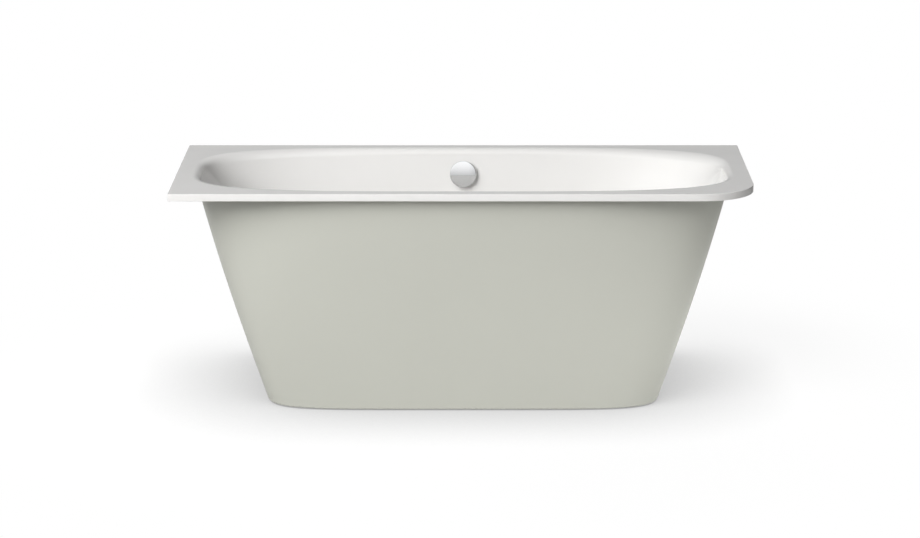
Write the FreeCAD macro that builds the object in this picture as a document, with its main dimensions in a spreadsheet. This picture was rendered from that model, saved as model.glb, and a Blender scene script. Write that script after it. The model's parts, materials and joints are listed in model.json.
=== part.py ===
import FreeCAD, Part
import math
import os
import Sketcher
from FreeCAD import Placement, Rotation, Vector

# A bathtub for a corner: enamelled steel bowl and rim, tapered apron at the front and both ends,
# adjustable feet on two cross rails, and a rotary overflow knob that lifts the plug by a cable.
# +X runs along the bath to the right, +Y to the wall behind it, +Z up. The origin lies on the
# floor, under the middle of the rim.

doc = FreeCAD.newDocument("corner_bathtub")
dims = doc.addObject("Spreadsheet::Sheet", "dims")

# Driving dimensions in millimetres and degrees.
sizes = (
    ("tubLength", 1600, "rim, end to end"),
    ("tubWidth", 700, "rim, front to wall"),
    ("rimHeight", 620, "floor to the top of the rim"),
    ("rimDepth", 20, "turned-down edge of the rim"),
    ("rimCorner", 150, "round at the free corner, front right"),
    ("rimEdge", 1.5, "small round along the rim's upper edge"),
    ("tubSheet", 3, "enamelled steel of the tub"),
    ("rimEnd", 43, "flat of the rim at each end"),
    ("rimSide", 34, "flat of the rim at front and back"),
    ("openingPower", 3.85, "superellipse power of the opening"),
    ("floorPower", 3, "superellipse power at the bowl's floor"),
    ("rollIn", 22, "rolled edge of the bowl, inwards"),
    ("rollDrop", 20, "rolled edge of the bowl, downwards"),
    ("endSlope", 30, "backrest ends, from upright"),
    ("sideSlope", 10, "long walls, from upright"),
    ("bowlClearance", 170, "floor to the bowl's floor, room for the waste and trap"),
    ("bowlRound", 110, "round between walls and floor"),
    ("dishRadius", 50, "recess round the waste"),
    ("dishTaper", 8, "recess, slope of its edge inwards"),
    ("dishDepth", 4, "recess round the waste, depth"),
    ("drainHole", 26, "hole for the waste, radius"),
    ("overflowHole", 26, "hole for the overflow, radius"),
    ("overflowDrop", 73, "rim to the middle of the overflow"),
    ("apronSheet", 2, "enamelled sheet of the apron"),
    ("apronGap", 3, "shadow gap under the apron"),
    ("apronWallGap", 5, "apron to the wall behind"),
    ("apronRise", 11, "apron above the rim's lower edge"),
    ("apronEndInset", 57, "rim overhang at the ends"),
    ("apronFrontInset", 30, "rim overhang at the front"),
    ("apronEndTaper", 193.5, "how far each end leans in"),
    ("apronFrontTaper", 14, "how far the front leans in"),
    ("apronPower", 3.8, "superellipse power of the apron's top"),
    ("apronBasePower", 6, "superellipse power of the apron's base"),
    ("apronBulge", 0.01, "swell of the apron at half height, share"),
    ("apronFlange", 25, "flanges at the base and at the wall"),
    ("apronLip", 18, "lip turned outwards under the rim"),
    ("tapeInset", 11, "apron face to the foam tape"),
    ("tapeWidth", 6, "foam tape, width"),
    ("railSpan", 300, "middle of the bath to each rail"),
    ("railInset", 75, "rim's edge to the rails' ends"),
    ("railWidth", 40, "square tube of the rails, width"),
    ("railHeight", 30, "square tube of the rails, height"),
    ("railSheet", 2, "square tube of the rails, wall"),
    ("railPad", 3, "rubber between rail and bowl"),
    ("railPadLength", 170, "rubber between rail and bowl, length"),
    ("capDepth", 8, "end caps, into the rail"),
    ("capFlange", 3, "end caps, outside the rail"),
    ("soundPadLength", 170, "sound pads under the bowl, length"),
    ("soundPadWidth", 170, "sound pads under the bowl, width"),
    ("soundPadGap", 25, "rails' inner sides to the sound pads"),
    ("soundPadSheet", 3, "sound pads, thickness"),
    ("footInset", 40, "rails' ends to the feet"),
    ("footRadius", 30, "foot pads"),
    ("footHeight", 17, "foot pads, height"),
    ("footFloor", 5, "foot pads, floor of the socket"),
    ("soleHeight", 3, "rubber soles"),
    ("spindleRadius", 6, "foot spindles, M12"),
    ("footTravel", 40, "height adjustment"),
    ("spindleSpare", 5, "spindle above its nut at full travel"),
    ("collarHeight", 8, "hexagon collar of the spindle"),
    ("collarFlats", 17, "hexagon collar, across flats"),
    ("nutHeight", 10, "M12 nuts"),
    ("nutFlats", 19, "M12 nuts, across flats"),
    ("bracketSheet", 2, "apron brackets"),
    ("bracketTab", 25, "apron brackets, tab on the apron"),
    ("studRadius", 2.5, "weld studs and bracket screws, M5"),
    ("studSpacing", 24, "weld studs, spacing"),
    ("studHeight", 12, "weld studs"),
    ("studInset", 15, "weld studs, behind the apron's front"),
    ("screwSpacing", 20, "bracket screws, spacing"),
    ("smallNutFlats", 8, "M5 nuts, across flats"),
    ("smallNutHeight", 4, "M5 nuts"),
    ("screwHead", 4.5, "M5 screw heads, radius"),
    ("screwHeadHeight", 3, "M5 screw heads"),
    ("screwGrip", 8, "bracket screws, past the bracket"),
    ("anchorSpan", 480, "middle of the bath to each wall anchor"),
    ("anchorWidth", 70, "wall anchors, width"),
    ("anchorDrop", 60, "wall anchors, below the rim"),
    ("anchorSheet", 3, "wall anchors, sheet"),
    ("anchorLip", 12, "wall anchors, lip behind the rim's edge"),
    ("anchorHole", 4, "wall anchors, screw hole radius"),
    ("anchorSpacing", 40, "wall anchors, screw hole spacing"),
    ("anchorHoleDrop", 40, "wall anchors, rim down to the screw holes"),
    ("lugLength", 18, "earthing lug, out from the rail"),
    ("lugSheet", 2.5, "earthing lug, sheet"),
    ("lugHole", 3.25, "earthing lug, hole radius"),
    ("lugInset", 10, "rail's end to the earthing lug"),
    ("knobRadius", 38.5, "overflow knob"),
    ("knobGap", 8, "bowl's wall to the knob"),
    ("knobDepth", 12, "overflow knob, thickness"),
    ("knobDome", 2.5, "overflow knob, height of its dome"),
    ("knobEdge", 3, "overflow knob, round at its edge"),
    ("knobWall", 3, "overflow knob, wall"),
    ("knobHub", 11, "overflow knob, radius of its hub"),
    ("axleRadius", 6, "spindle of the overflow knob"),
    ("plateRadius", 33, "overflow plate"),
    ("plateSheet", 2.5, "overflow plate, thickness"),
    ("plateScrews", 20, "overflow plate, middle to each screw"),
    ("inletCircle", 17, "overflow plate, circle of its water holes"),
    ("inletRadius", 4.5, "overflow plate, water holes"),
    ("frontGasket", 1.5, "gasket between bowl and overflow plate"),
    ("rearGasket", 3, "gasket behind the bowl's wall"),
    ("gasketBore", 27, "gaskets, inner radius"),
    ("bodyFlange", 38, "overflow body, flange radius"),
    ("bodyRadius", 34, "overflow body, radius"),
    ("bodyDepth", 40, "overflow body, depth"),
    ("bodySheet", 4, "overflow body and waste body, wall"),
    ("bossRadius", 5, "screw bosses and cable bosses"),
    ("crankRadius", 13, "cable crank"),
    ("crankSheet", 4, "cable crank, thickness"),
    ("crankSeat", 22, "cable crank, behind the bowl's wall"),
    ("crankPin", 1.5, "cable crank, radius of its pin"),
    ("pipeRadius", 16, "overflow pipe"),
    ("pipeSheet", 2.5, "overflow pipe, wall"),
    ("pipeOffset", 26, "bowl's inner face to the pipe's middle"),
    ("pipeStart", 50, "overflow's middle down to the pipe"),
    ("pipeBend", 100, "overflow pipe, bend"),
    ("nutWall", 6, "union nuts, wall"),
    ("nutLength", 22, "union nuts, length"),
    ("cableRadius", 2.5, "control cable"),
    ("cableSide", 28, "control cable, beside the middle"),
    ("cableOffset", 20, "bowl's inner face to the cable's middle"),
    ("cableStart", 44, "overflow's middle down to the cable"),
    ("cableFar", 84, "waste's cable port to the cable's far turn"),
    ("cableNear", 42, "waste's cable port to the cable's near turn"),
    ("clipWidth", 12, "cable clips, width"),
    ("clipLength", 10, "cable clips, length"),
    ("clipFirst", 130, "overflow's middle down to the first clip"),
    ("clipStep", 100, "first clip to the second"),
    ("wasteFlange", 35, "waste flange"),
    ("wasteSheet", 2.5, "waste flange, thickness"),
    ("wasteNeck", 25, "waste flange, radius of its neck"),
    ("neckWall", 2.5, "waste flange, wall of its neck"),
    ("neckLength", 18, "waste flange, length of its neck"),
    ("webSheet", 4, "waste flange, cross web"),
    ("webRib", 3, "waste flange, ribs of the web"),
    ("webHub", 8, "waste flange, hub of the web"),
    ("topGasket", 1, "gasket under the waste flange"),
    ("lowGasket", 3, "gasket between bowl and waste body"),
    ("wasteTop", 40, "waste body, flange radius"),
    ("wasteRadius", 34, "waste body, radius"),
    ("wasteHeight", 50, "waste body, height"),
    ("chamberHeight", 32, "waste body, height of its chamber"),
    ("drainRadius", 20, "trap and waste pipe, DN 40"),
    ("drainSheet", 3, "trap and waste pipe, wall"),
    ("spigotLength", 12, "waste body, spigot below it"),
    ("inletReach", 60, "waste body, middle to the inlet's end"),
    ("portSide", 26, "waste body, middle to the cable port, sideways"),
    ("portReach", 32, "waste body, middle to the cable port, backwards"),
    ("capRadius", 31, "plug cap"),
    ("capHeight", 6, "plug cap, thickness"),
    ("capDome", 2, "plug cap, height of its dome"),
    ("capEdge", 2, "plug cap, round at its edge"),
    ("sealSheet", 1.5, "plug seal, thickness"),
    ("sealBore", 24, "plug seal, inner radius"),
    ("stemRadius", 4, "plug stem"),
    ("stemSocket", 3, "plug stem, into the cap"),
    ("leverReach", 22, "lifter lever, pin to roller"),
    ("leverHeight", 12, "lifter lever, pin above the waste body's base"),
    ("leverWidth", 8, "lifter lever, width"),
    ("leverSheet", 3, "lifter lever, thickness"),
    ("leverHub", 4.5, "lifter lever, radius of its hub"),
    ("leverHubWidth", 12, "lifter lever, width of its hub"),
    ("rollerRadius", 2.5, "lifter lever, nose under the stem"),
    ("pinRadius", 2, "lifter pin"),
    ("pinLength", 44, "lifter pin, length"),
    ("stemGap", 0.5, "lever's nose to the plug stem, at rest"),
    ("trapLow", 30, "floor to the middle of the trap's bend"),
    ("trapReach", 62, "trap, leg to leg"),
    ("trapOut", 92, "floor to the middle of the waste pipe"),
    ("trapBend", 28, "trap, bends"),
    ("trapEnd", 45, "trap's middle to its outlet"),
    ("outletReach", 300, "middle of the bath to the pipe's end"),
    ("stopRadius", 24, "waste pipe, stop collar for its socket"),
    ("stopWidth", 8, "waste pipe, width of its stop collar"),
    ("stopGap", 2, "waste pipe, outlet nut to the stop collar"),
    ("fit", 0.05, "running and close fits, each side"),
    ("slack", 0.3, "loose fits, each side"),
)
for row, (alias, number, note) in enumerate(sizes, 1):
    dims.set("A%d" % row, note)
    dims.set("B%d" % row, str(number))
    dims.setAlias("B%d" % row, alias)
doc.recompute()

rightAngle = 90
fullTurn = 360
hexAngle = 30
tiny = 0.001


def read(formula):
    return float(dims.evalExpression(str(formula)))


# Levels and places that several pieces share, as formulas of the driving dimensions.
rimLow = "(dims.rimHeight - dims.rimDepth)"
rimUnder = "(dims.rimHeight - dims.tubSheet)"
backWall = "(dims.tubWidth / 2)"
creaseTop = "(dims.rimHeight - dims.rollDrop)"
bowlFloor = "dims.bowlClearance"
bowlUnder = "(%s - dims.tubSheet)" % bowlFloor
dishFloor = "(%s - dims.dishDepth)" % bowlFloor
dishUnder = "(%s - dims.dishDepth)" % bowlUnder
railTop = "(%s - dims.railPad)" % bowlUnder
railLow = "(%s - dims.railHeight)" % railTop
railEnd = "(dims.tubWidth / 2 - dims.railInset)"
footSpan = "(%s - dims.footInset)" % railEnd
apronTop = "(%s + dims.apronRise)" % rimLow
apronBack = "(%s - dims.apronWallGap)" % backWall
screwRow = "(%s - dims.capDepth - dims.screwHead)" % railEnd
studRow = "-(dims.tubWidth / 2 - dims.apronFrontInset - dims.apronFrontTaper - dims.studInset)"
flangeTop = "(dims.apronGap + dims.apronSheet)"
overflowHeight = "(dims.rimHeight - dims.overflowDrop)"
overflowBack = "(dims.tubWidth / 2 - dims.rimSide - dims.rollIn" \
    " - (dims.overflowDrop - dims.rollDrop) * tan(dims.sideSlope))"
wallBehind = "(dims.tubSheet * cos(dims.sideSlope))"
bodyFront = "(%s + dims.rearGasket)" % wallBehind
plateTop = "(dims.frontGasket + dims.plateSheet)"
wasteSeat = "(%s + dims.topGasket)" % dishFloor
wasteRim = "(%s + dims.wasteSheet)" % wasteSeat
wasteBodyTop = "(%s - dims.lowGasket)" % dishUnder
wasteBodyLow = "(%s - dims.wasteHeight)" % wasteBodyTop
chamberLow = "(%s + dims.bodySheet)" % wasteBodyLow
chamberTop = "(%s + dims.chamberHeight)" % chamberLow
inletHeight = "(%s + dims.chamberHeight / 2)" % chamberLow
leverAxis = "(%s + dims.leverHeight)" % wasteBodyLow
trapTop = "(%s - dims.spigotLength)" % wasteBodyLow
capLow = "(%s + dims.sealSheet)" % wasteRim


# Placing.

def at(piece, across="0", along="0", up="0"):
    for axis, formula in zip("xyz", (across, along, up)):
        piece.setExpression("Placement.Base." + axis, str(formula))
    return piece


def turned(piece, axis, angle):
    piece.Placement = Placement(Vector(), Rotation(axis, 1))
    piece.setExpression("Placement.Rotation.Angle", str(angle))
    return piece


def onWall(piece, side="0", rise="0", out="0", angle="%d - dims.sideSlope" % rightAngle):
    # The overflow's own frame: its middle on the bowl's back wall, rise up the wall, out into the bowl.
    turned(piece, Vector(1, 0, 0), angle)
    back = "%s + (%s) * sin(dims.sideSlope) - (%s) * cos(dims.sideSlope)" % (overflowBack, rise, out)
    high = "%s + (%s) * cos(dims.sideSlope) + (%s) * sin(dims.sideSlope)" % (overflowHeight, rise, out)
    return at(piece, side, back, high)


def wallPoint(side, rise, out):
    slope = math.radians(read("dims.sideSlope"))
    back = read(overflowBack) + read(rise) * math.sin(slope) - read(out) * math.cos(slope)
    high = read(overflowHeight) + read(rise) * math.cos(slope) + read(out) * math.sin(slope)
    return Vector(read(side), back, high)


# Solids from primitives.

def sized(kind, name, **formulas):
    piece = doc.addObject("Part::" + kind, name)
    for size, formula in formulas.items():
        piece.setExpression(size, str(formula))
    return piece


def rod(name, radius, height):
    return sized("Cylinder", name, Radius=radius, Height=height)


def block(name, length, width, height):
    return sized("Box", name, Length=length, Width=width, Height=height)


def hexagon(name, flats, height):
    piece = sized("Prism", name, Circumradius="%s / 2 / cos(%d)" % (flats, hexAngle), Height=height)
    piece.Polygon = 6
    return piece


def cut(name, base, *tools):
    tool = tools[0]
    if len(tools) > 1:
        tool = doc.addObject("Part::MultiFuse", name + "_tools")
        tool.Shapes = list(tools)
    piece = doc.addObject("Part::Cut", name)
    piece.Base = base
    piece.Tool = tool
    return piece


def joined(name, *pieces):
    piece = doc.addObject("Part::MultiFuse", name)
    piece.Shapes = list(pieces)
    return piece


def group(name, pieces):
    piece = doc.addObject("Part::Compound", name)
    piece.Links = list(pieces)
    return piece


def ring(name, outer, bore, height):
    return cut(name, rod(name + "_outer", outer, height), rod(name + "_bore", bore, height))


def hexNut(name, flats, bore, height):
    return cut(name, hexagon(name + "_body", flats, height), rod(name + "_bore", bore, height))


# Turned and bent pieces: a sketch whose every corner is held by two bound distances.

def originPlane(body, role):
    return next(feature for feature in body.Origin.OriginFeatures if feature.Role == role)


def arcOver(start, end, radius):
    # The shorter arc from start to end. It bulges away from the outline's inside, which lies to its right.
    chord = end - start
    left = Vector(-chord.y, chord.x, 0).normalize()
    centre = start + chord * 0.5 - left * math.sqrt(radius ** 2 - (chord.Length / 2) ** 2)
    first = math.atan2(end.y - centre.y, end.x - centre.x)
    last = math.atan2(start.y - centre.y, start.x - centre.x)
    return Part.ArcOfCircle(Part.Circle(centre, Vector(0, 0, 1), radius), first, last)


def outline(body, role, corners):
    # Corners run clockwise. One with a third value starts an arc of that radius.
    sketch = body.newObject("Sketcher::SketchObject", body.Name + "_outline")
    sketch.AttachmentSupport = [(originPlane(body, role), "")]
    sketch.MapMode = "FlatFace"
    spots = [Vector(read(corner[0]), read(corner[1]), 0) for corner in corners]
    starts = []
    for index, corner in enumerate(corners):
        start = spots[index]
        end = spots[(index + 1) % len(corners)]
        if len(corner) > 2:
            sketch.addGeometry(arcOver(start, end, read(corner[2])), False)
            starts.append(2)
        else:
            sketch.addGeometry(Part.LineSegment(start, end), False)
            starts.append(1)
    for index, corner in enumerate(corners):
        after = (index + 1) % len(corners)
        sketch.addConstraint(
            Sketcher.Constraint("Coincident", index, 3 - starts[index], after, starts[after]))
        for kind, formula in (("DistanceX", corner[0]), ("DistanceY", corner[1])):
            rule = Sketcher.Constraint(kind, -1, 1, index, starts[index], read(formula))
            number = sketch.addConstraint(rule)
            sketch.setExpression("Constraints[%d]" % number, str(formula))
        if len(corner) > 2:
            number = sketch.addConstraint(Sketcher.Constraint("Radius", index, read(corner[2])))
            sketch.setExpression("Constraints[%d]" % number, str(corner[2]))
    return sketch


def turnedPiece(name, corners):
    body = doc.addObject("PartDesign::Body", name)
    sketch = outline(body, "XZ_Plane", corners)
    turn = body.newObject("PartDesign::Revolution", name + "_turn")
    turn.Profile = sketch
    turn.ReferenceAxis = (sketch, ["V_Axis"])
    turn.Angle = fullTurn
    return body


def bentPiece(name, corners, width):
    body = doc.addObject("PartDesign::Body", name)
    sketch = outline(body, "YZ_Plane", corners)
    pad = body.newObject("PartDesign::Pad", name + "_pad")
    pad.Profile = sketch
    pad.setExpression("Length", width)
    pad.Midplane = True
    return body


# Free-form pieces: shapes worked out from the sheet.

def feature(name, shape):
    piece = doc.addObject("Part::Feature", name)
    piece.Shape = shape
    return piece


def bentTube(name, points, bends, outer, bore=None):
    # Straight runs joined by tangent arcs, one bend radius for each inner point.
    edges = []
    here = points[0]
    for corner, after, bend in zip(points[1:-1], points[2:], bends):
        before = (here - corner).normalize()
        beyond = (after - corner).normalize()
        half = before.getAngle(beyond) / 2
        reach = bend / math.tan(half)
        first = corner + before * reach
        last = corner + beyond * reach
        towards = (before + beyond).normalize()
        middle = corner + towards * (bend / math.sin(half) - bend)
        if (first - here).Length > tiny:
            edges.append(Part.LineSegment(here, first).toShape())
        edges.append(Part.Arc(first, middle, last).toShape())
        here = last
    edges.append(Part.LineSegment(here, points[-1]).toShape())
    path = Part.Wire(edges)
    start = (points[1] - points[0]).normalize()

    def swept(radius):
        section = Part.Wire(Part.Circle(points[0], start, radius).toShape())
        return path.makePipeShell([section], True, False)
    tube = swept(read(outer))
    if bore is not None:
        tube = tube.cut(swept(read(bore)))
    return feature(name, tube)


# The tub: a superellipse bowl with a rolled edge, in a flat rim whose edge is turned down.

outlinePoints = 48
rollSteps = 6
roundSteps = 6


def superellipse(length, width, power, height):
    spots = []
    for step in range(outlinePoints):
        turn = 2 * math.pi * step / outlinePoints
        across = math.cos(turn)
        along = math.sin(turn)
        reach = (abs(across) ** power + abs(along) ** power) ** (-1 / power)
        spots.append(Vector(length * reach * across, width * reach * along, height))
    curve = Part.BSplineCurve()
    curve.interpolate(Points=spots, PeriodicFlag=True)
    return Part.Wire(curve.toShape())


def rolledEdge(name, sheet):
    # From the opening in the rim down to the crease. A sheet above 0 gives the hidden side.
    length = read("dims.tubLength / 2 - dims.rimEnd")
    width = read("dims.tubWidth / 2 - dims.rimSide")
    sections = []
    for step in range(rollSteps + 1):
        turn = math.radians(rightAngle) * step / rollSteps
        inward = (read("dims.rollIn") - sheet) * math.sin(turn)
        height = read(creaseTop) + (read("dims.rollDrop") - sheet) * math.cos(turn)
        sections.append(superellipse(length - inward, width - inward, read("dims.openingPower"), height))
    return feature(name, Part.makeLoft(sections, True, False))


def bowl(name, sheet):
    # From the crease down to the floor: sloping walls, then one round of a quarter turn or less.
    top = read(creaseTop)
    floor = read(bowlFloor) - sheet
    radius = read("dims.bowlRound") + sheet
    slopes = [math.radians(read("dims." + slope)) for slope in ("endSlope", "sideSlope")]
    creases = [read("dims.tubLength / 2 - dims.rimEnd - dims.rollIn") + sheet,
               read("dims.tubWidth / 2 - dims.rimSide - dims.rollIn") + sheet]

    def reach(crease, slope, height):
        tangent = floor + radius * (1 - math.sin(slope))
        if height >= tangent:
            return crease - (top - height) * math.tan(slope)
        centre = crease - (top - tangent) * math.tan(slope) - radius * math.cos(slope)
        return centre + math.sqrt(max(radius ** 2 - (floor + radius - height) ** 2, 0))

    def section(height):
        share = (top - height) / (top - read(bowlFloor))
        power = read("dims.openingPower") + share * read("dims.floorPower - dims.openingPower")
        length, width = (reach(crease, slope, height) for crease, slope in zip(creases, slopes))
        return superellipse(length, width, power, height)
    steepest = math.radians(rightAngle) - min(slopes)
    heights = [floor + radius * (1 - math.cos(steepest * step / roundSteps))
               for step in range(roundSteps, -1, -1)]
    wall = Part.makeLoft([section(top), section(heights[0])], True, True)
    base = Part.makeLoft([section(height) for height in heights], True, False)
    return feature(name, wall.fuse(base))


def rimPlate():
    body = doc.addObject("PartDesign::Body", "rim_plate")
    right = "dims.tubLength / 2"
    back = "dims.tubWidth / 2"

    def rimOutline(inset):
        return (
            ("-(%s - %s)" % (right, inset), "-(%s - %s)" % (back, inset)),
            ("-(%s - %s)" % (right, inset), "%s - %s" % (back, inset)),
            ("%s - %s" % (right, inset), "%s - %s" % (back, inset)),
            ("%s - %s" % (right, inset), "-(%s - dims.rimCorner)" % back, "dims.rimCorner - %s" % inset),
            ("%s - dims.rimCorner" % right, "-(%s - %s)" % (back, inset)),
        )
    plate = body.newObject("PartDesign::Pad", "rim_pad")
    plate.Profile = outline(body, "XY_Plane", rimOutline("0"))
    plate.setExpression("Length", "dims.rimDepth")
    doc.recompute()
    edge = body.newObject("PartDesign::Fillet", "rim_edge")
    upper = read("dims.rimDepth")
    names = ["Edge%d" % number for number, side in enumerate(plate.Shape.Edges, 1)
             if all(abs(vertex.Z - upper) < tiny for vertex in side.Vertexes)]
    edge.Base = (plate, names)
    edge.setExpression("Radius", "dims.rimEdge")
    hollow = body.newObject("PartDesign::Pocket", "rim_hollow")
    hollow.Profile = outline(body, "XY_Plane", rimOutline("dims.tubSheet"))
    hollow.setExpression("Length", "dims.rimDepth - dims.tubSheet")
    hollow.Reversed = True
    return at(body, up=rimLow)


def dish(name, wider, top):
    piece = sized("Cone", name, Radius1="dims.dishRadius - dims.dishTaper + %s" % wider,
                  Radius2="dims.dishRadius + %s" % wider, Height="dims.dishDepth")
    return at(piece, up="%s - dims.dishDepth" % top)


def tubShell():
    sheet = read("dims.tubSheet")
    solid = joined("tub_solid", rimPlate(), rolledEdge("roll_hidden", sheet), bowl("bowl_hidden", sheet),
                   dish("dish_hidden", "dims.tubSheet", bowlUnder))
    drain = rod("drain_hole", "dims.drainHole", "dims.bowlClearance")
    at(drain, up="dims.bowlClearance / 2")
    hole = onWall(rod("overflow_hole", "dims.overflowHole", "dims.tubSheet * 4"), out="-dims.tubSheet * 2")
    return cut("tub_shell", solid, rolledEdge("roll_inside", 0), bowl("bowl_inside", 0),
               dish("dish_inside", "0", bowlFloor), drain, hole)


# The apron: one bent sheet, front and both ends, that tapers to the floor.

apronPoints = 24
apronSteps = 6


def apronSection(height, grow, back):
    share = (read(rimLow) - height) / (read(rimLow) - read("dims.apronGap"))
    swell = 1 + 4 * read("dims.apronBulge") * share * (1 - share)
    length = swell * read("dims.tubLength / 2 - dims.apronEndInset") \
        - swell * share * read("dims.apronEndTaper") + grow
    width = swell * read("dims.tubWidth / 2 - dims.apronFrontInset") \
        - swell * share * read("dims.apronFrontTaper") + grow
    power = read("dims.apronPower") + share * read("dims.apronBasePower - dims.apronPower")
    spots = []
    for step in range(apronPoints + 1):
        turn = math.pi * step / apronPoints
        reach = (abs(math.cos(turn)) ** power + abs(math.sin(turn)) ** power) ** (-1 / power)
        spots.append(Vector(length * reach * math.cos(turn), -width * reach * math.sin(turn), height))
    curve = Part.BSplineCurve()
    curve.interpolate(Points=spots, InitialTangent=Vector(0, -1, 0), FinalTangent=Vector(0, 1, 0))
    corners = [spots[-1], Vector(-length, back, height), Vector(length, back, height), spots[0]]
    sides = [Part.LineSegment(start, end).toShape() for start, end in zip(corners, corners[1:])]
    return Part.Wire([curve.toShape()] + sides)


def apronPrism(height, grow, back, low, high):
    section = apronSection(height, grow, back)
    section.translate(Vector(0, 0, low - height))
    return Part.Face(section).extrude(Vector(0, 0, high - low))


def apron():
    sheet = read("dims.apronSheet")
    flange = read("dims.apronFlange")
    low = read("dims.apronGap")
    high = read(apronTop)
    back = read(apronBack)
    heights = [low + (high - low) * step / apronSteps for step in range(apronSteps + 1)]
    outside = Part.makeLoft([apronSection(height, 0, back) for height in heights], True, False)
    heights[0] += sheet
    heights[-1] += sheet
    inside = Part.makeLoft([apronSection(height, -sheet, back - sheet) for height in heights], True, False)
    baseOpening = apronPrism(low, -flange, back + flange, low - sheet, low + 2 * sheet)
    baseHalf = read("dims.tubLength / 2 - dims.apronEndInset - dims.apronEndTaper - dims.apronFlange")
    topHalf = baseHalf + read("dims.apronEndTaper") * (high - low) / (read(rimLow) - low)
    corners = [Vector(-baseHalf, back - flange, low), Vector(baseHalf, back - flange, low),
               Vector(topHalf, back - flange, high), Vector(-topHalf, back - flange, high)]
    corners[0].z -= sheet
    corners[1].z -= sheet
    corners[2].z += sheet
    corners[3].z += sheet
    window = Part.Face(Part.makePolygon(corners + corners[:1])).extrude(Vector(0, 2 * flange, 0))
    lip = apronPrism(high, read("dims.apronLip"), back, high - sheet, high)
    lip = lip.cut(apronPrism(high, -sheet / 2, back + sheet, high - 2 * sheet, high + sheet))
    shell = outside.cut(inside).fuse(lip).cut(baseOpening).cut(window)
    for rail in (-1, 1):
        for side in (-1, 1):
            across = rail * read("dims.railSpan") + side * read("dims.studSpacing / 2")
            foot = Vector(across, read(studRow), read("dims.apronGap + dims.apronSheet / 2"))
            height = read("dims.apronSheet / 2 + dims.bracketSheet + dims.studHeight")
            shell = shell.fuse(Part.makeCylinder(read("dims.studRadius"), height, foot))
    return feature("apron", shell.removeSplitter())


def foamTape():
    high = read(apronTop)
    inner = read("dims.tapeInset")
    outer = inner + read("dims.tapeWidth")
    back = read(apronBack)
    tape = apronPrism(high, outer, back, high, read(rimUnder))
    return feature("rim_foam_tape", tape.cut(apronPrism(high, inner, back + outer, high, read(rimUnder))))


# Under the bowl: two rails, with pads, caps, nuts and brackets, and an adjustable foot at each end.

sides = (("left", -1), ("right", 1))
ends = (("front", -1), ("back", 1))


def rail(side, sign):
    name = "rail_" + side
    middle = "%d * dims.railSpan" % sign
    tube = at(block(name + "_tube", "dims.railWidth", "2 * " + railEnd, "dims.railHeight"),
              "%s - dims.railWidth / 2" % middle, "-" + railEnd, railLow)
    hollow = at(block(name + "_hollow", "dims.railWidth - 2 * dims.railSheet", "2 * " + railEnd,
                      "dims.railHeight - 2 * dims.railSheet"),
                "%s - dims.railWidth / 2 + dims.railSheet" % middle, "-" + railEnd,
                "%s + dims.railSheet" % railLow)
    holes = [at(rod("%s_hole_%s" % (name, end), "dims.spindleRadius + dims.slack", "dims.railHeight"),
                middle, "%d * %s" % (way, footSpan), railLow) for end, way in ends]
    for edge in (-1, 1):
        hole = rod("%s_screw_hole_%d" % (name, edge), "dims.studRadius + dims.fit", "dims.railSheet")
        holes.append(at(hole, "%s + %d * dims.screwSpacing / 2" % (middle, edge),
                        "-" + screwRow, railLow))
    return cut(name, tube, hollow, *holes)


def railPad(side, sign):
    pad = block("rail_pad_" + side, "dims.railWidth", "dims.railPadLength", "dims.railPad")
    return at(pad, "%d * dims.railSpan - dims.railWidth / 2" % sign, "-dims.railPadLength / 2", railTop)


def endCap(side, sign, end, way):
    name = "end_cap_%s_%s" % (end, side)
    inset = "(dims.railSheet + dims.slack)"
    cover = at(block(name + "_cover", "dims.railWidth", "dims.capFlange", "dims.railHeight"),
               "-dims.railWidth / 2", "%d * (%s + dims.capFlange / 2) - dims.capFlange / 2" % (way, railEnd))
    plug = at(block(name + "_plug", "dims.railWidth - 2 * %s" % inset, "dims.capDepth",
                    "dims.railHeight - 2 * %s" % inset),
              "-dims.railWidth / 2 + %s" % inset,
              "%d * (%s - dims.capDepth / 2) - dims.capDepth / 2" % (way, railEnd), inset)
    return at(joined(name, cover, plug), "%d * dims.railSpan" % sign, "0", railLow)


def footNut(kind, side, sign, end, way, low):
    nut = hexNut("%s_%s_%s" % (kind, end, side), "dims.nutFlats", "dims.spindleRadius + dims.fit",
                 "dims.nutHeight")
    return at(nut, "%d * dims.railSpan" % sign, "%d * %s" % (way, footSpan), low)


def foot(side, sign, end, way):
    place = ("%d * dims.railSpan" % sign, "%d * %s" % (way, footSpan))
    where = "%s_%s" % (end, side)
    edge = "dims.soleHeight / 3"
    sole = turnedPiece("foot_sole_" + where, (
        ("0", "0"), ("0", "dims.soleHeight"), ("dims.footRadius", "dims.soleHeight"),
        ("dims.footRadius", edge), ("dims.footRadius - %s" % edge, "0")))
    low = "dims.soleHeight"
    seat = "(dims.soleHeight + dims.footFloor)"
    high = "(dims.soleHeight + dims.footHeight)"
    bore = "dims.spindleRadius + dims.fit"
    pad = turnedPiece("foot_pad_" + where, (
        ("0", low), ("0", seat), (bore, seat), (bore, high), ("dims.spindleRadius * 2", high),
        ("dims.footRadius", seat), ("dims.footRadius", low)))
    length = "%s + dims.nutHeight + dims.footTravel + dims.spindleSpare - %s" % (railTop, seat)
    shaft = at(rod("spindle_shaft_" + where, "dims.spindleRadius", length), up=seat)
    collar = at(hexagon("spindle_collar_" + where, "dims.collarFlats", "dims.collarHeight"),
                up="%s + dims.collarHeight / 2" % high)
    spindle = joined("foot_spindle_" + where, shaft, collar)
    return [at(piece, *place) for piece in (sole, pad, spindle)]


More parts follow.
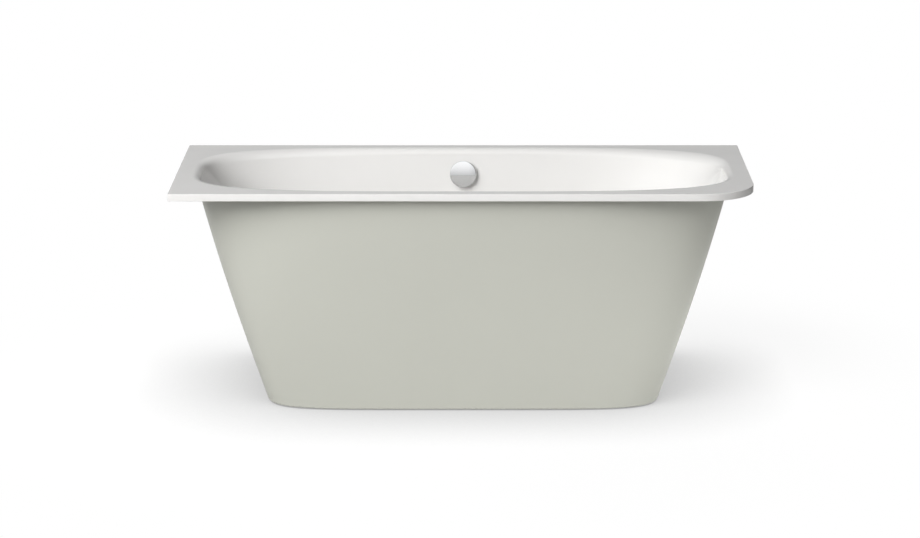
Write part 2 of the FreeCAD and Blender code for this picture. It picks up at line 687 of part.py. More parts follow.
def bracket(side, sign):
    # One tab on the apron's flange, one under the rail, and a leg between them.
    name = "apron_bracket_" + side
    inner = "-%s" % railEnd
    sheet = "dims.bracketSheet"
    railTab = "dims.screwHead * 2 - %s" % screwRow
    plate = bentPiece(name + "_plate", (
        ("%s - dims.bracketTab" % inner, flangeTop),
        ("%s - dims.bracketTab" % inner, "%s + %s" % (flangeTop, sheet)),
        (inner, "%s + %s" % (flangeTop, sheet)),
        (inner, railLow),
        (railTab, railLow),
        (railTab, "%s - %s" % (railLow, sheet)),
        ("%s + %s" % (inner, sheet), "%s - %s" % (railLow, sheet)),
        ("%s + %s" % (inner, sheet), flangeTop)), "dims.railWidth")
    holes = []
    for edge in (-1, 1):
        stud = rod("%s_stud_hole_%d" % (name, edge), "dims.studRadius + dims.slack", sheet)
        holes.append(at(stud, "%d * dims.studSpacing / 2" % edge, studRow, flangeTop))
        screw = rod("%s_screw_hole_%d" % (name, edge), "dims.studRadius + dims.slack", sheet)
        holes.append(at(screw, "%d * dims.screwSpacing / 2" % edge, "-" + screwRow,
                        "%s - %s" % (railLow, sheet)))
    return at(cut(name, plate, *holes), "%d * dims.railSpan" % sign)


def bracketScrew(side, sign, edge):
    name = "bracket_screw_%s_%d" % (side, edge)
    head = at(rod(name + "_head", "dims.screwHead", "dims.screwHeadHeight"), up="-dims.screwHeadHeight")
    shank = rod(name + "_shank", "dims.studRadius", "dims.bracketSheet + dims.screwGrip")
    return at(joined(name, head, shank), "%d * dims.railSpan + %d * dims.screwSpacing / 2" % (sign, edge),
              "-" + screwRow, "%s - dims.bracketSheet" % railLow)


def studNut(side, sign, edge):
    nut = hexNut("stud_nut_%s_%d" % (side, edge), "dims.smallNutFlats", "dims.studRadius + dims.fit",
                 "dims.smallNutHeight")
    return at(nut, "%d * dims.railSpan + %d * dims.studSpacing / 2" % (sign, edge), studRow,
              "%s + dims.bracketSheet" % flangeTop)


def soundPad(side, sign):
    pad = block("sound_pad_" + side, "dims.soundPadLength", "dims.soundPadWidth", "dims.soundPadSheet")
    middle = "(dims.railSpan - dims.railWidth / 2 - dims.soundPadGap - dims.soundPadLength / 2)"
    return at(pad, "%d * %s - dims.soundPadLength / 2" % (sign, middle), "-dims.soundPadWidth / 2",
              "%s - dims.soundPadSheet" % bowlUnder)


def earthLug():
    # On the rail's inner side. Its hole faces the open back.
    across = "dims.railSpan - dims.railWidth / 2 - dims.lugLength"
    plate = at(block("lug_plate", "dims.lugLength", "dims.lugSheet", "dims.railHeight"),
               across, "%s - dims.lugInset - dims.lugSheet" % railEnd, railLow)
    hole = at(turned(rod("lug_hole", "dims.lugHole", "dims.lugSheet"), Vector(1, 0, 0), rightAngle),
              "%s + dims.lugLength / 2" % across, "%s - dims.lugInset" % railEnd,
              "%s + dims.railHeight / 2" % railLow)
    return cut("earth_lug", plate, hole)


def wallAnchor(side, sign):
    # A plate on the wall. Its ledge carries the rim's turned-down edge and its lip stands behind that.
    name = "wall_anchor_" + side
    inner = "(%s - dims.tubSheet)" % backWall
    hook = bentPiece(name + "_hook", (
        ("%s - dims.anchorSheet" % backWall, "%s - dims.anchorDrop" % rimLow),
        ("%s - dims.anchorSheet" % backWall, "%s - dims.anchorSheet" % rimLow),
        ("%s - dims.anchorSheet" % inner, "%s - dims.anchorSheet" % rimLow),
        ("%s - dims.anchorSheet" % inner, "%s + dims.anchorLip" % rimLow),
        (inner, "%s + dims.anchorLip" % rimLow),
        (inner, rimLow),
        (backWall, rimLow),
        (backWall, "%s - dims.anchorDrop" % rimLow)), "dims.anchorWidth")
    holes = []
    for edge in (-1, 1):
        hole = rod("%s_hole_%d" % (name, edge), "dims.anchorHole", "dims.anchorSheet")
        turned(hole, Vector(1, 0, 0), rightAngle)
        holes.append(at(hole, "%d * dims.anchorSpacing / 2" % edge, backWall,
                        "%s - dims.anchorHoleDrop" % rimLow))
    return at(cut(name, hook, *holes), "%d * dims.anchorSpan" % sign)


# The overflow, in its own frame on the bowl's back wall.

def dome(radius, edge, high, drop):
    # A shallow dome with a rounded edge, as the first corners of a turned outline.
    inner = "(%s - %s)" % (radius, edge)
    return (("0", high, "(%s^2 + %s^2) / (2 * %s)" % (inner, drop, drop)),
            (inner, "%s - %s" % (high, drop), edge),
            (radius, "%s - %s - %s" % (high, drop, edge)))


def overflowKnob():
    high = "(dims.knobGap + dims.knobDepth)"
    bore = "dims.axleRadius + dims.fit"
    rim = "dims.knobRadius - dims.knobWall"
    ceiling = "%s - dims.knobDome - dims.knobWall" % high
    socket = "%s - dims.knobWall" % high
    face = dome("dims.knobRadius", "dims.knobEdge", high, "dims.knobDome")
    return onWall(turnedPiece("overflow_knob", face + (
        ("dims.knobRadius", "dims.knobGap"), (rim, "dims.knobGap"), (rim, ceiling),
        ("dims.knobHub", ceiling), ("dims.knobHub", "dims.knobGap"), (bore, "dims.knobGap"),
        (bore, socket), ("0", socket))))


def knobSpindle():
    # The bush behind it is half a body wall shorter than its seat.
    low = "-(%s + dims.bodyDepth - dims.bodySheet - dims.bodySheet / 2)" % bodyFront
    length = "dims.knobGap + dims.knobDepth - dims.knobWall - (%s)" % low
    return onWall(rod("knob_spindle", "dims.axleRadius", length), out=low)


def cableCrank():
    disc = rod("crank_disc", "dims.crankRadius", "dims.crankSheet")
    pin = at(rod("crank_pin", "dims.crankPin", "dims.crankSheet * 2"),
             along="(dims.crankRadius + dims.axleRadius) / 2", up="-dims.crankSheet")
    bore = rod("crank_bore", "dims.axleRadius + dims.fit", "dims.crankSheet")
    return onWall(cut("cable_crank", joined("crank_solid", disc, pin), bore),
                  out="-(%s + dims.crankSeat)" % wallBehind)


plateHoles = 8


def overflowPlate():
    disc = rod("plate_disc", "dims.plateRadius", "dims.plateSheet")
    holes = [rod("plate_bore", "dims.axleRadius + dims.fit", "dims.plateSheet")]
    for number in range(plateHoles):
        name = "plate_hole_%d" % number
        turn = number * fullTurn / plateHoles
        if number % (plateHoles / 2):
            hole = rod(name, "dims.inletRadius", "dims.plateSheet")
            circle = "dims.inletCircle"
        else:
            hole = rod(name, "dims.studRadius + dims.slack", "dims.plateSheet")
            circle = "dims.plateScrews"
        holes.append(at(hole, "%s * cos(%g)" % (circle, turn), "%s * sin(%g)" % (circle, turn)))
    return onWall(cut("overflow_plate", disc, *holes), out="dims.frontGasket")


def overflowBody():
    front = "-" + bodyFront
    shoulder = "-(%s + dims.bodySheet)" % bodyFront
    rear = "-(%s + dims.bodyDepth)" % bodyFront
    inner = "dims.bodyRadius - dims.bodySheet"
    ceiling = "%s + dims.bodySheet" % rear
    bush = "dims.axleRadius + dims.bodySheet"
    bore = "dims.axleRadius + dims.fit"
    cup = turnedPiece("overflow_cup", (
        (inner, front), ("dims.bodyFlange", front), ("dims.bodyFlange", shoulder),
        ("dims.bodyRadius", shoulder), ("dims.bodyRadius", rear), ("0", rear), ("0", ceiling),
        (bore, ceiling), (bore, "%s + dims.bodySheet" % ceiling), (bush, "%s + dims.bodySheet" % ceiling),
        (bush, ceiling), (inner, ceiling)))
    depth = "dims.bodyDepth - dims.bodySheet / 2"
    parts = [cup]
    bores = []
    for edge in (-1, 1):
        across = "%d * dims.plateScrews" % edge
        parts.append(at(rod("overflow_boss_%d" % edge, "dims.bossRadius", depth), across, "0",
                        "%s + dims.bodySheet / 2" % rear))
        thread = rod("overflow_boss_bore_%d" % edge, "dims.studRadius + dims.fit", depth)
        bores.append(at(thread, across, "0", "%s + dims.bodySheet" % rear))
    level = "-dims.pipeOffset"
    downwards = Vector(1, 0, 0)
    spigotStart = "-(dims.bodyRadius - dims.bodySheet / 2)"
    spigot = rod("overflow_spigot", "dims.pipeRadius", "dims.pipeStart + %s" % spigotStart)
    parts.append(at(turned(spigot, downwards, rightAngle), "0", spigotStart, level))
    opening = rod("overflow_spigot_bore", "dims.pipeRadius - dims.pipeSheet",
                  "dims.pipeStart - dims.bossRadius")
    bores.append(at(turned(opening, downwards, rightAngle), "0", "-dims.bossRadius", level))
    cableStart = "-dims.bodyRadius / 2"
    cableBoss = rod("overflow_cable_boss", "dims.bossRadius", "dims.cableStart + %s" % cableStart)
    parts.append(at(turned(cableBoss, downwards, rightAngle), "-dims.cableSide", cableStart,
                    "-dims.cableOffset"))
    return onWall(cut("overflow_body", joined("overflow_solid", *parts), *bores))


def overflowScrew(edge):
    name = "overflow_screw_%d" % edge
    grip = "%s + dims.bodyDepth / 2" % bodyFront
    shank = at(rod(name + "_shank", "dims.studRadius", "%s + %s" % (plateTop, grip)), up="-(%s)" % grip)
    head = at(rod(name + "_head", "dims.screwHead", "dims.screwHeadHeight"), up=plateTop)
    return onWall(joined(name, shank, head), side="%d * dims.plateScrews" % edge)


# Pipes, cable and union nuts.

def unionNut(name, radius):
    # Its grip stands a slack off the pipes that it joins, and its middle is at its own origin.
    nut = ring(name, "%s + dims.slack + dims.nutWall" % radius, "%s + dims.slack" % radius, "dims.nutLength")
    for part in (nut.Base, nut.Tool):
        at(part, up="-dims.nutLength / 2")
    return nut


def overflowPipe():
    start = wallPoint("0", "-dims.pipeStart", "-dims.pipeOffset")
    level = read(inletHeight)
    slope = math.radians(read("dims.sideSlope"))
    corner = Vector(0, start.y - (start.z - level) * math.tan(slope), level)
    end = Vector(0, read("dims.inletReach"), level)
    return bentTube("overflow_pipe", [start, corner, end], [read("dims.pipeBend")], "dims.pipeRadius",
                    "dims.pipeRadius - dims.pipeSheet")


cableRound = 0.45


def controlCable():
    # Down the bowl's back wall, round under it, then down again into the waste body.
    start = wallPoint("-dims.cableSide", "-dims.cableStart", "-dims.cableOffset")
    port = wastePort()
    slope = math.radians(read("dims.sideSlope"))
    level = read("%s - dims.cableOffset" % bowlFloor)
    corner = Vector(start.x, start.y - (start.z - level) * math.tan(slope), level)
    points = [start, corner, Vector(start.x, port.y + read("dims.cableFar"), level),
              Vector(port.x, port.y + read("dims.cableNear"), port.z), port]
    bends = [read("dims.bowlRound + dims.cableOffset")]
    for index in (2, 3):
        before = points[index - 1] - points[index]
        after = points[index + 1] - points[index]
        turn = math.pi - before.getAngle(after)
        bends.append(cableRound * min(before.Length, after.Length) / math.tan(turn / 2))
    print("control cable bends, mm:", [round(bend) for bend in bends])
    return bentTube("control_cable", points, bends, "dims.cableRadius")


def cableClip(number):
    name = "cable_clip_%d" % number
    reach = "dims.cableOffset + dims.cableRadius + dims.bodySheet / 2 - %s" % wallBehind
    foot = at(block(name + "_foot", "dims.clipWidth", "dims.clipLength", reach),
              "-dims.clipWidth / 2", "-dims.clipLength / 2", "-(%s) - %s" % (reach, wallBehind))
    hole = rod(name + "_hole", "dims.cableRadius + dims.slack", "dims.clipLength")
    at(turned(hole, Vector(1, 0, 0), rightAngle), "0", "dims.clipLength / 2", "-dims.cableOffset")
    return onWall(cut(name, foot, hole), "-dims.cableSide",
                  "-(dims.clipFirst + %d * dims.clipStep)" % number)


# The waste: flange, body, and the plug with the lever that lifts it.

def wasteFlangePiece():
    neckLow = "(%s - dims.neckLength)" % wasteSeat
    inner = "(dims.wasteNeck - dims.neckWall)"
    collar = turnedPiece("waste_collar", (
        (inner, neckLow), (inner, wasteRim), ("dims.wasteFlange", wasteRim),
        ("dims.wasteFlange", wasteSeat), ("dims.wasteNeck", wasteSeat), ("dims.wasteNeck", neckLow)))
    parts = [collar, at(rod("web_hub", "dims.webHub", "dims.webSheet"), up=neckLow)]
    for name, length, width in (("web_rib_long", "2 * %s + dims.neckWall" % inner, "dims.webRib"),
                                ("web_rib_cross", "dims.webRib", "2 * %s + dims.neckWall" % inner)):
        rib = block(name, length, width, "dims.webSheet")
        parts.append(at(rib, "-(%s) / 2" % length, "-(%s) / 2" % width, neckLow))
    bore = at(rod("web_bore", "dims.stemRadius + dims.fit", "dims.webSheet"), up=neckLow)
    return cut("waste_flange", joined("waste_flange_solid", *parts), bore)


def wastePort():
    return Vector(-read("dims.portSide"), read("dims.portReach"), read(leverAxis))


def wasteBody():
    throat = "dims.wasteNeck + dims.slack"
    inner = "dims.wasteRadius - dims.bodySheet"
    drain = "dims.drainRadius - dims.drainSheet"
    shoulder = "%s - dims.bodySheet" % wasteBodyTop
    cup = turnedPiece("waste_cup", (
        (throat, wasteBodyTop), ("dims.wasteTop", wasteBodyTop), ("dims.wasteTop", shoulder),
        ("dims.wasteRadius", shoulder), ("dims.wasteRadius", wasteBodyLow),
        ("dims.drainRadius", wasteBodyLow), ("dims.drainRadius", trapTop), (drain, trapTop),
        (drain, chamberLow), (inner, chamberLow), (inner, chamberTop), (throat, chamberTop)))
    backwards = Vector(1, 0, 0)
    start = "dims.wasteRadius - dims.bodySheet / 2"
    inlet = rod("waste_inlet", "dims.pipeRadius", "dims.inletReach - (%s)" % start)
    at(turned(inlet, backwards, -rightAngle), "0", start, inletHeight)
    inletBore = rod("waste_inlet_bore", "dims.pipeRadius - dims.pipeSheet",
                    "dims.inletReach - dims.pipeRadius")
    at(turned(inletBore, backwards, -rightAngle), "0", "dims.pipeRadius", inletHeight)
    port = wastePort()
    bossStart = "dims.wasteRadius / 2"
    boss = rod("waste_cable_boss", "dims.bossRadius", "dims.portReach - %s" % bossStart)
    at(turned(boss, backwards, -rightAngle), "-dims.portSide", bossStart, leverAxis)
    pinHole = rod("waste_pin_hole", "dims.pinRadius + dims.fit", "dims.pinLength")
    at(turned(pinHole, Vector(0, 1, 0), rightAngle), "-dims.pinLength / 2", "dims.leverReach", leverAxis)
    return cut("waste_body", joined("waste_solid", cup, inlet, boss), inletBore, pinHole)


def plug():
    high = "(%s + dims.capHeight)" % capLow
    bore = "dims.stemRadius + dims.fit"
    socket = "%s + dims.stemSocket" % capLow
    cap = turnedPiece("plug_cap", dome("dims.capRadius", "dims.capEdge", high, "dims.capDome") + (
        ("dims.capRadius", capLow), (bore, capLow), (bore, socket), ("0", socket)))
    stemLow = "(%s + dims.rollerRadius + dims.stemGap)" % leverAxis
    stem = at(rod("plug_stem", "dims.stemRadius", "%s - %s" % (socket, stemLow)), up=stemLow)
    seal = at(ring("plug_seal", "dims.capRadius - dims.capEdge / 2", "dims.sealBore", "dims.sealSheet"),
              up=wasteRim)
    return [cap, stem, seal]


def lifterLever():
    sideways = Vector(0, 1, 0)
    half = "-dims.leverWidth / 2"
    nose = turned(rod("lever_nose", "dims.rollerRadius", "dims.leverWidth"), sideways, rightAngle)
    at(nose, half, "0", leverAxis)
    arm = at(block("lever_arm", "dims.leverWidth", "dims.leverReach", "dims.leverSheet"), half, "0",
             "%s - dims.leverSheet / 2" % leverAxis)
    hub = turned(rod("lever_hub", "dims.leverHub", "dims.leverHubWidth"), sideways, rightAngle)
    at(hub, "-dims.leverHubWidth / 2", "dims.leverReach", leverAxis)
    bore = rod("lever_bore", "dims.pinRadius + dims.fit", "dims.leverHubWidth")
    at(turned(bore, sideways, rightAngle), "-dims.leverHubWidth / 2", "dims.leverReach", leverAxis)
    return cut("lifter_lever", joined("lever_solid", nose, arm, hub), bore)


def lifterPin():
    pin = turned(rod("lifter_pin", "dims.pinRadius", "dims.pinLength"), Vector(0, 1, 0), rightAngle)
    return at(pin, "-dims.pinLength / 2", "dims.leverReach", leverAxis)


def trap():
    reach = read("dims.trapReach")
    low = read("dims.trapLow")
    out = read("dims.trapOut")
    points = [Vector(0, 0, read(trapTop)), Vector(0, 0, low), Vector(reach, 0, low), Vector(reach, 0, out),
              Vector(reach, read("dims.trapEnd"), out)]
    return bentTube("trap_bend", points, [read("dims.trapBend")] * 3, "dims.drainRadius",
                    "dims.drainRadius - dims.drainSheet")


def wastePipe():
    tube = ring("waste_tube", "dims.drainRadius", "dims.drainRadius - dims.drainSheet",
                "dims.outletReach - dims.trapEnd")
    stop = at(ring("waste_stop", "dims.stopRadius", "dims.drainRadius", "dims.stopWidth"),
              up="dims.nutLength / 2 + dims.stopGap")
    pipe = turned(joined("waste_pipe", tube, stop), Vector(1, 0, 0), -rightAngle)
    return at(pipe, "dims.trapReach", "dims.trapEnd", "dims.trapOut")


# All sub-parts.

nodes = [tubShell(), apron(), foamTape()]
for side, sign in sides:
    nodes += [rail(side, sign), railPad(side, sign), bracket(side, sign), soundPad(side, sign),
              wallAnchor(side, sign)]
corners = [(side, sign, end, way) for side, sign in sides for end, way in ends]
edges = [(side, sign, edge) for side, sign in sides for edge in (-1, 1)]
nodes.append(group("rail_end_caps", [endCap(*corner) for corner in corners]))
nodes.append(group("rail_weld_nuts", [footNut("weld_nut", *corner, railTop) for corner in corners]))
nodes.append(group("foot_lock_nuts", [footNut("lock_nut", *corner, "%s - dims.nutHeight" % railLow)
                                      for corner in corners]))
for corner in corners:
    nodes += foot(*corner)
nodes.append(group("bracket_screws", [bracketScrew(*edge) for edge in edges]))
nodes.append(group("apron_stud_nuts", [studNut(*edge) for edge in edges]))
nodes.append(earthLug())
nodes += [overflowKnob(), knobSpindle(), cableCrank(), overflowPlate(), overflowBody()]
nodes.append(onWall(ring("overflow_front_gasket", "dims.plateRadius", "dims.gasketBore",
                         "dims.frontGasket")))
nodes.append(onWall(ring("overflow_rear_gasket", "dims.bodyFlange", "dims.gasketBore", "dims.rearGasket"),
                    out="-" + bodyFront))
nodes.append(group("overflow_screws", [overflowScrew(edge) for edge in (-1, 1)]))
nodes += [overflowPipe(), controlCable()]
nodes.append(group("cable_clips", [cableClip(number) for number in range(2)]))
nodes.append(onWall(unionNut("overflow_top_nut", "dims.pipeRadius"), rise="-dims.pipeStart",
                    out="-dims.pipeOffset", angle="-dims.sideSlope"))
nodes.append(at(turned(unionNut("overflow_bottom_nut", "dims.pipeRadius"), Vector(1, 0, 0), rightAngle),
                "0", "dims.inletReach", inletHeight))
nodes += [wasteFlangePiece(), wasteBody(), lifterLever(), lifterPin(), trap(), wastePipe()]
nodes += plug()
nodes.append(at(ring("waste_top_gasket", "dims.wasteFlange", "dims.gasketBore", "dims.topGasket"),
                up=dishFloor))
nodes.append(at(ring("waste_bottom_gasket", "dims.wasteTop", "dims.gasketBore", "dims.lowGasket"),
                up=wasteBodyTop))
nodes.append(at(unionNut("trap_inlet_nut", "dims.drainRadius"), up=trapTop))
nodes.append(at(turned(unionNut("trap_outlet_nut", "dims.drainRadius"), Vector(1, 0, 0), rightAngle),
                "dims.trapReach", "dims.trapEnd", "dims.trapOut"))

doc.recompute()
failed = [piece.Name for piece in doc.Objects if "Invalid" in piece.State or "Error" in piece.State]
for node in nodes:
    node.Label = node.Name
    if node.Shape.isNull() or not node.Shape.isValid():
        failed.append(node.Name)
if failed:
    raise RuntimeError("failed: " + ", ".join(failed))

os.makedirs("parts", exist_ok=True)
for node in nodes:
    node.Shape.exportStep("parts/%s.step" % node.Label)
print(len(nodes), "sub-parts written")
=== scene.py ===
import bmesh
import bpy
import json
import math
from mathutils import Matrix, Vector


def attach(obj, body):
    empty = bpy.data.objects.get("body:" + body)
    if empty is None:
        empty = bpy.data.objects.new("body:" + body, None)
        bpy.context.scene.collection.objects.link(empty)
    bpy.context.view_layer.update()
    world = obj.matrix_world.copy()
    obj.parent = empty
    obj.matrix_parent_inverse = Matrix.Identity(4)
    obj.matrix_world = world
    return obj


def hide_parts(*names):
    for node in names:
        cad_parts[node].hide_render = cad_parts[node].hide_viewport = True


# A corner bathtub: white enamelled steel, a sage apron round the front and both ends, and a chrome
# knob that lifts the plug. Metres throughout. +X to the right, +Y to the wall behind, +Z up.

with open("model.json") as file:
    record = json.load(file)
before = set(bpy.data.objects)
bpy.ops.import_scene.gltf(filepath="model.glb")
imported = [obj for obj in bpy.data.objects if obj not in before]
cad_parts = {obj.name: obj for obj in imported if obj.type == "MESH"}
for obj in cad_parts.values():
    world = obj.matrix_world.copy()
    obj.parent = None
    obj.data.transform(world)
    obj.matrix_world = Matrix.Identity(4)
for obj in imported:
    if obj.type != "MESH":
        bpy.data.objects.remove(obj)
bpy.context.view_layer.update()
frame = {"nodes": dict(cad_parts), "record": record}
nodes = frame["nodes"]
print("frame loaded,", len(nodes), "CAD nodes")


# Where the photograph was taken from: about 9 m away with a long lens, a little above the rim.
cameraView = {
    "lens": 124.6,  # mm, on a sensor 36 mm wide
    "place": (0.020, -8.790, 2.387),
    "pitch": 13.17,  # degrees below level
    "shift": -0.011,
}

cameraData = bpy.data.cameras.new("camera")
cameraData.lens = cameraView["lens"]
cameraData.sensor_width = 36
cameraData.shift_x = cameraView["shift"]
cameraData.clip_end = 100
camera = bpy.data.objects.new("camera", cameraData)
camera.location = cameraView["place"]
camera.rotation_euler = (math.radians(90 - cameraView["pitch"]), 0, 0)
bpy.context.scene.collection.objects.link(camera)
bpy.context.scene.camera = camera
print("camera placed")


def fromHex(code):
    # sRGB hex to the linear colour that Blender works in
    channels = [int(code[i:i + 2], 16) / 255 for i in (0, 2, 4)]
    return [c / 12.92 if c <= 0.04045 else ((c + 0.055) / 1.055) ** 2.4 for c in channels] + [1]


def addNode(tree, kind, settings=None, values=None, links=None):
    node = tree.nodes.new("ShaderNode" + kind)
    for name, value in (settings or {}).items():
        setattr(node, name, value)
    for name, value in (values or {}).items():
        node.inputs[name].default_value = value
    for name, output in (links or {}).items():
        tree.links.new(output, node.inputs[name])
    return node


def newMaterial(name, values):
    # a Principled shader with its output; returns the material, its tree and the shader
    material = bpy.data.materials.new(name)
    material.use_nodes = True
    tree = material.node_tree
    tree.nodes.clear()
    shader = addNode(tree, "BsdfPrincipled", values=values)
    addNode(tree, "OutputMaterial", links={"Surface": shader.outputs[0]})
    return material, tree, shader


def meshObject(name, vertices, faces, materials, faceMaterials=None, sharpAngle=40):
    mesh = bpy.data.meshes.new(name)
    mesh.from_pydata(vertices, [], faces)
    for material in materials:
        mesh.materials.append(material)
    if faceMaterials:
        mesh.polygons.foreach_set("material_index", faceMaterials)
    work = bmesh.new()
    work.from_mesh(mesh)
    bmesh.ops.remove_doubles(work, verts=work.verts, dist=1e-6)
    bmesh.ops.dissolve_degenerate(work, edges=work.edges, dist=1e-6)
    bmesh.ops.recalc_face_normals(work, faces=work.faces)
    work.to_mesh(mesh)
    work.free()
    mesh.shade_smooth()
    mesh.set_sharp_from_angle(angle=math.radians(sharpAngle))
    piece = bpy.data.objects.new(name, mesh)
    bpy.context.scene.collection.objects.link(piece)
    return piece


def stitchRings(rings, closed=True):
    # rings of equal count, joined to their neighbours; closed also joins the last to the first
    count = len(rings[0])
    vertices = [point for ring in rings for point in ring]
    faces = []
    for row in range(len(rings) if closed else len(rings) - 1):
        below = row * count
        above = (row + 1) % len(rings) * count
        for i in range(count):
            j = (i + 1) % count
            faces.append((below + i, below + j, above + j, above + i))
    return vertices, faces


def arc(centre, radius, first, last, steps):
    # points (across, up) on a circle, angles in degrees
    angles = [math.radians(first + (last - first) * i / steps) for i in range(steps + 1)]
    return [(centre[0] + radius * math.cos(a), centre[1] + radius * math.sin(a)) for a in angles]


nearAxis = 0.00005  # an outline that closes on the axis stops this far from it


def lathe(name, profile, materials, steps=160, place=None):
    # turns a closed outline of (radius, height) round its own Z
    rings = []
    for i in range(steps):
        turn = 2 * math.pi * i / steps
        rings.append([(r * math.cos(turn), r * math.sin(turn), z) for r, z in profile])
    vertices, faces = stitchRings(rings)
    piece = meshObject(name, vertices, faces, materials)
    if place is not None:
        piece.data.transform(place)
    return piece


# Patterns lie on the object's own metres, so a scale of 1000 gives marks of about 1 mm.

# Vitreous enamel, fired glossy: a glass skin over steel. A faint ripple of about 22 mm softens its
# reflections, and its gloss changes a little over about 110 mm.
whiteEnamel, tree, shader = newMaterial("vitreousEnamelWhite", {
    "Base Color": fromHex("F1F0EE"), "Roughness": 0.16, "IOR": 1.52,
    "Coat Weight": 0.35, "Coat Roughness": 0.05, "Coat IOR": 1.5})
spot = addNode(tree, "TexCoord")
ripple = addNode(tree, "TexNoise", values={"Scale": 45, "Detail": 2},
                 links={"Vector": spot.outputs["Object"]})
bump = addNode(tree, "Bump", values={"Strength": 0.06, "Distance": 0.0006},
               links={"Height": ripple.outputs[0]})
tree.links.new(bump.outputs[0], shader.inputs["Normal"])
patch = addNode(tree, "TexNoise", values={"Scale": 9, "Detail": 3}, links={"Vector": spot.outputs["Object"]})
gloss = addNode(tree, "MapRange",
                values={"From Min": 0.3, "From Max": 0.7, "To Min": 0.13, "To Max": 0.2},
                links={"Value": patch.outputs[0]})
tree.links.new(gloss.outputs[0], shader.inputs["Roughness"])

# Ground-coat enamel on the hidden side: thin, dull and blue-grey, with the spray's speckle of about
# 1.2 mm, and cloudy over about 200 mm.
groundCoat, tree, shader = newMaterial("groundCoatEnamel", {
    "Base Color": fromHex("7E8488"), "Roughness": 0.42, "IOR": 1.5})
spot = addNode(tree, "TexCoord")
speckle = addNode(tree, "TexNoise", values={"Scale": 850, "Detail": 2, "Roughness": 0.6},
                  links={"Vector": spot.outputs["Object"]})
cloud = addNode(tree, "TexNoise", values={"Scale": 5, "Detail": 3},
                links={"Vector": spot.outputs["Object"]})
ramp = addNode(tree, "ValToRGB", links={"Fac": speckle.outputs[0]})
ramp.color_ramp.elements[0].position = 0.38
ramp.color_ramp.elements[0].color = fromHex("5E656A")
ramp.color_ramp.elements[1].position = 0.62
ramp.color_ramp.elements[1].color = fromHex("8D9396")
tint = addNode(tree, "Mix", {"data_type": "RGBA", "blend_type": "MULTIPLY"}, {"B": fromHex("C9CDD0")},
               {"Factor": cloud.outputs[0], "A": ramp.outputs[0]})
tree.links.new(tint.outputs["Result"], shader.inputs["Base Color"])
bump = addNode(tree, "Bump", values={"Strength": 0.15, "Distance": 0.0004},
               links={"Height": speckle.outputs[0]})
tree.links.new(bump.outputs[0], shader.inputs["Normal"])

# Satin matt enamel of the apron: sage grey, an even skin with a fine sprayed grain of about 1 mm. Its
# colour and gloss change by the least over about 330 mm.
sageEnamel, tree, shader = newMaterial("satinEnamelSage", {
    "Base Color": fromHex("C3C4BB"), "Roughness": 0.5, "IOR": 1.5})
spot = addNode(tree, "TexCoord")
grain = addNode(tree, "TexNoise", values={"Scale": 900, "Detail": 2},
                links={"Vector": spot.outputs["Object"]})
bump = addNode(tree, "Bump", values={"Strength": 0.08, "Distance": 0.0002},
               links={"Height": grain.outputs[0]})
tree.links.new(bump.outputs[0], shader.inputs["Normal"])
cloud = addNode(tree, "TexNoise", values={"Scale": 3, "Detail": 2},
                links={"Vector": spot.outputs["Object"]})
shade = addNode(tree, "Mix", {"data_type": "RGBA"}, {"A": fromHex("C2C3BA"), "B": fromHex("C5C6BD")},
                {"Factor": cloud.outputs[0]})
tree.links.new(shade.outputs["Result"], shader.inputs["Base Color"])
satin = addNode(tree, "MapRange",
                values={"From Min": 0.3, "From Max": 0.7, "To Min": 0.46, "To Max": 0.54},
                links={"Value": cloud.outputs[0]})
tree.links.new(satin.outputs[0], shader.inputs["Roughness"])

# Polished chrome plate: a mirror with the least haze, and faint wiping marks about 17 mm wide.
chrome, tree, shader = newMaterial("chromePlate", {
    "Base Color": fromHex("ECEDEE"), "Metallic": 1, "Roughness": 0.06})
spot = addNode(tree, "TexCoord")
wipes = addNode(tree, "TexNoise", values={"Scale": 60, "Detail": 4},
                links={"Vector": spot.outputs["Object"]})
haze = addNode(tree, "MapRange",
               values={"From Min": 0.35, "From Max": 0.75, "To Min": 0.05, "To Max": 0.11},
               links={"Value": wipes.outputs[0]})
tree.links.new(haze.outputs[0], shader.inputs["Roughness"])


def plainMaterial(name, colour, darker, roughness, metallic, scale, bumpDepth):
    # one noise drives the colour between its two tones, the gloss and a fine relief
    material, tree, shader = newMaterial(name, {
        "Base Color": fromHex(colour), "Roughness": roughness, "Metallic": metallic})
    spot = addNode(tree, "TexCoord")
    noise = addNode(tree, "TexNoise", values={"Scale": scale, "Detail": 4},
                    links={"Vector": spot.outputs["Object"]})
    mix = addNode(tree, "Mix", {"data_type": "RGBA"}, {"A": fromHex(darker), "B": fromHex(colour)},
                  {"Factor": noise.outputs[0]})
    tree.links.new(mix.outputs["Result"], shader.inputs["Base Color"])
    gloss = addNode(tree, "MapRange", values={"From Min": 0.25, "From Max": 0.75,
                                              "To Min": roughness - 0.06, "To Max": roughness + 0.06},
                    links={"Value": noise.outputs[0]})
    tree.links.new(gloss.outputs[0], shader.inputs["Roughness"])
    bump = addNode(tree, "Bump", values={"Strength": 0.3, "Distance": bumpDepth},
                   links={"Height": noise.outputs[0]})
    tree.links.new(bump.outputs[0], shader.inputs["Normal"])
    return material


# Most of these grains are finer on the real thing, and are drawn coarser here so that they show.

# Zinc-plated steel: bright, a little blue, softened by tumbling in marks of about 5 mm.
zincSteel = plainMaterial("zincPlatedSteel", "D3D6D9", "BCC1C5", 0.34, 1, 220, 0.0001)
# Stainless steel, turned or stamped: neutral and satin, in marks of about 4 mm.
stainless = plainMaterial("stainlessSteel", "C6C6C5", "ADADAC", 0.26, 1, 260, 0.0001)
# Turned brass: yellow and smooth, with tool marks of about 3 mm.
brass = plainMaterial("turnedBrass", "C6A25C", "A9853F", 0.24, 1, 300, 0.0001)
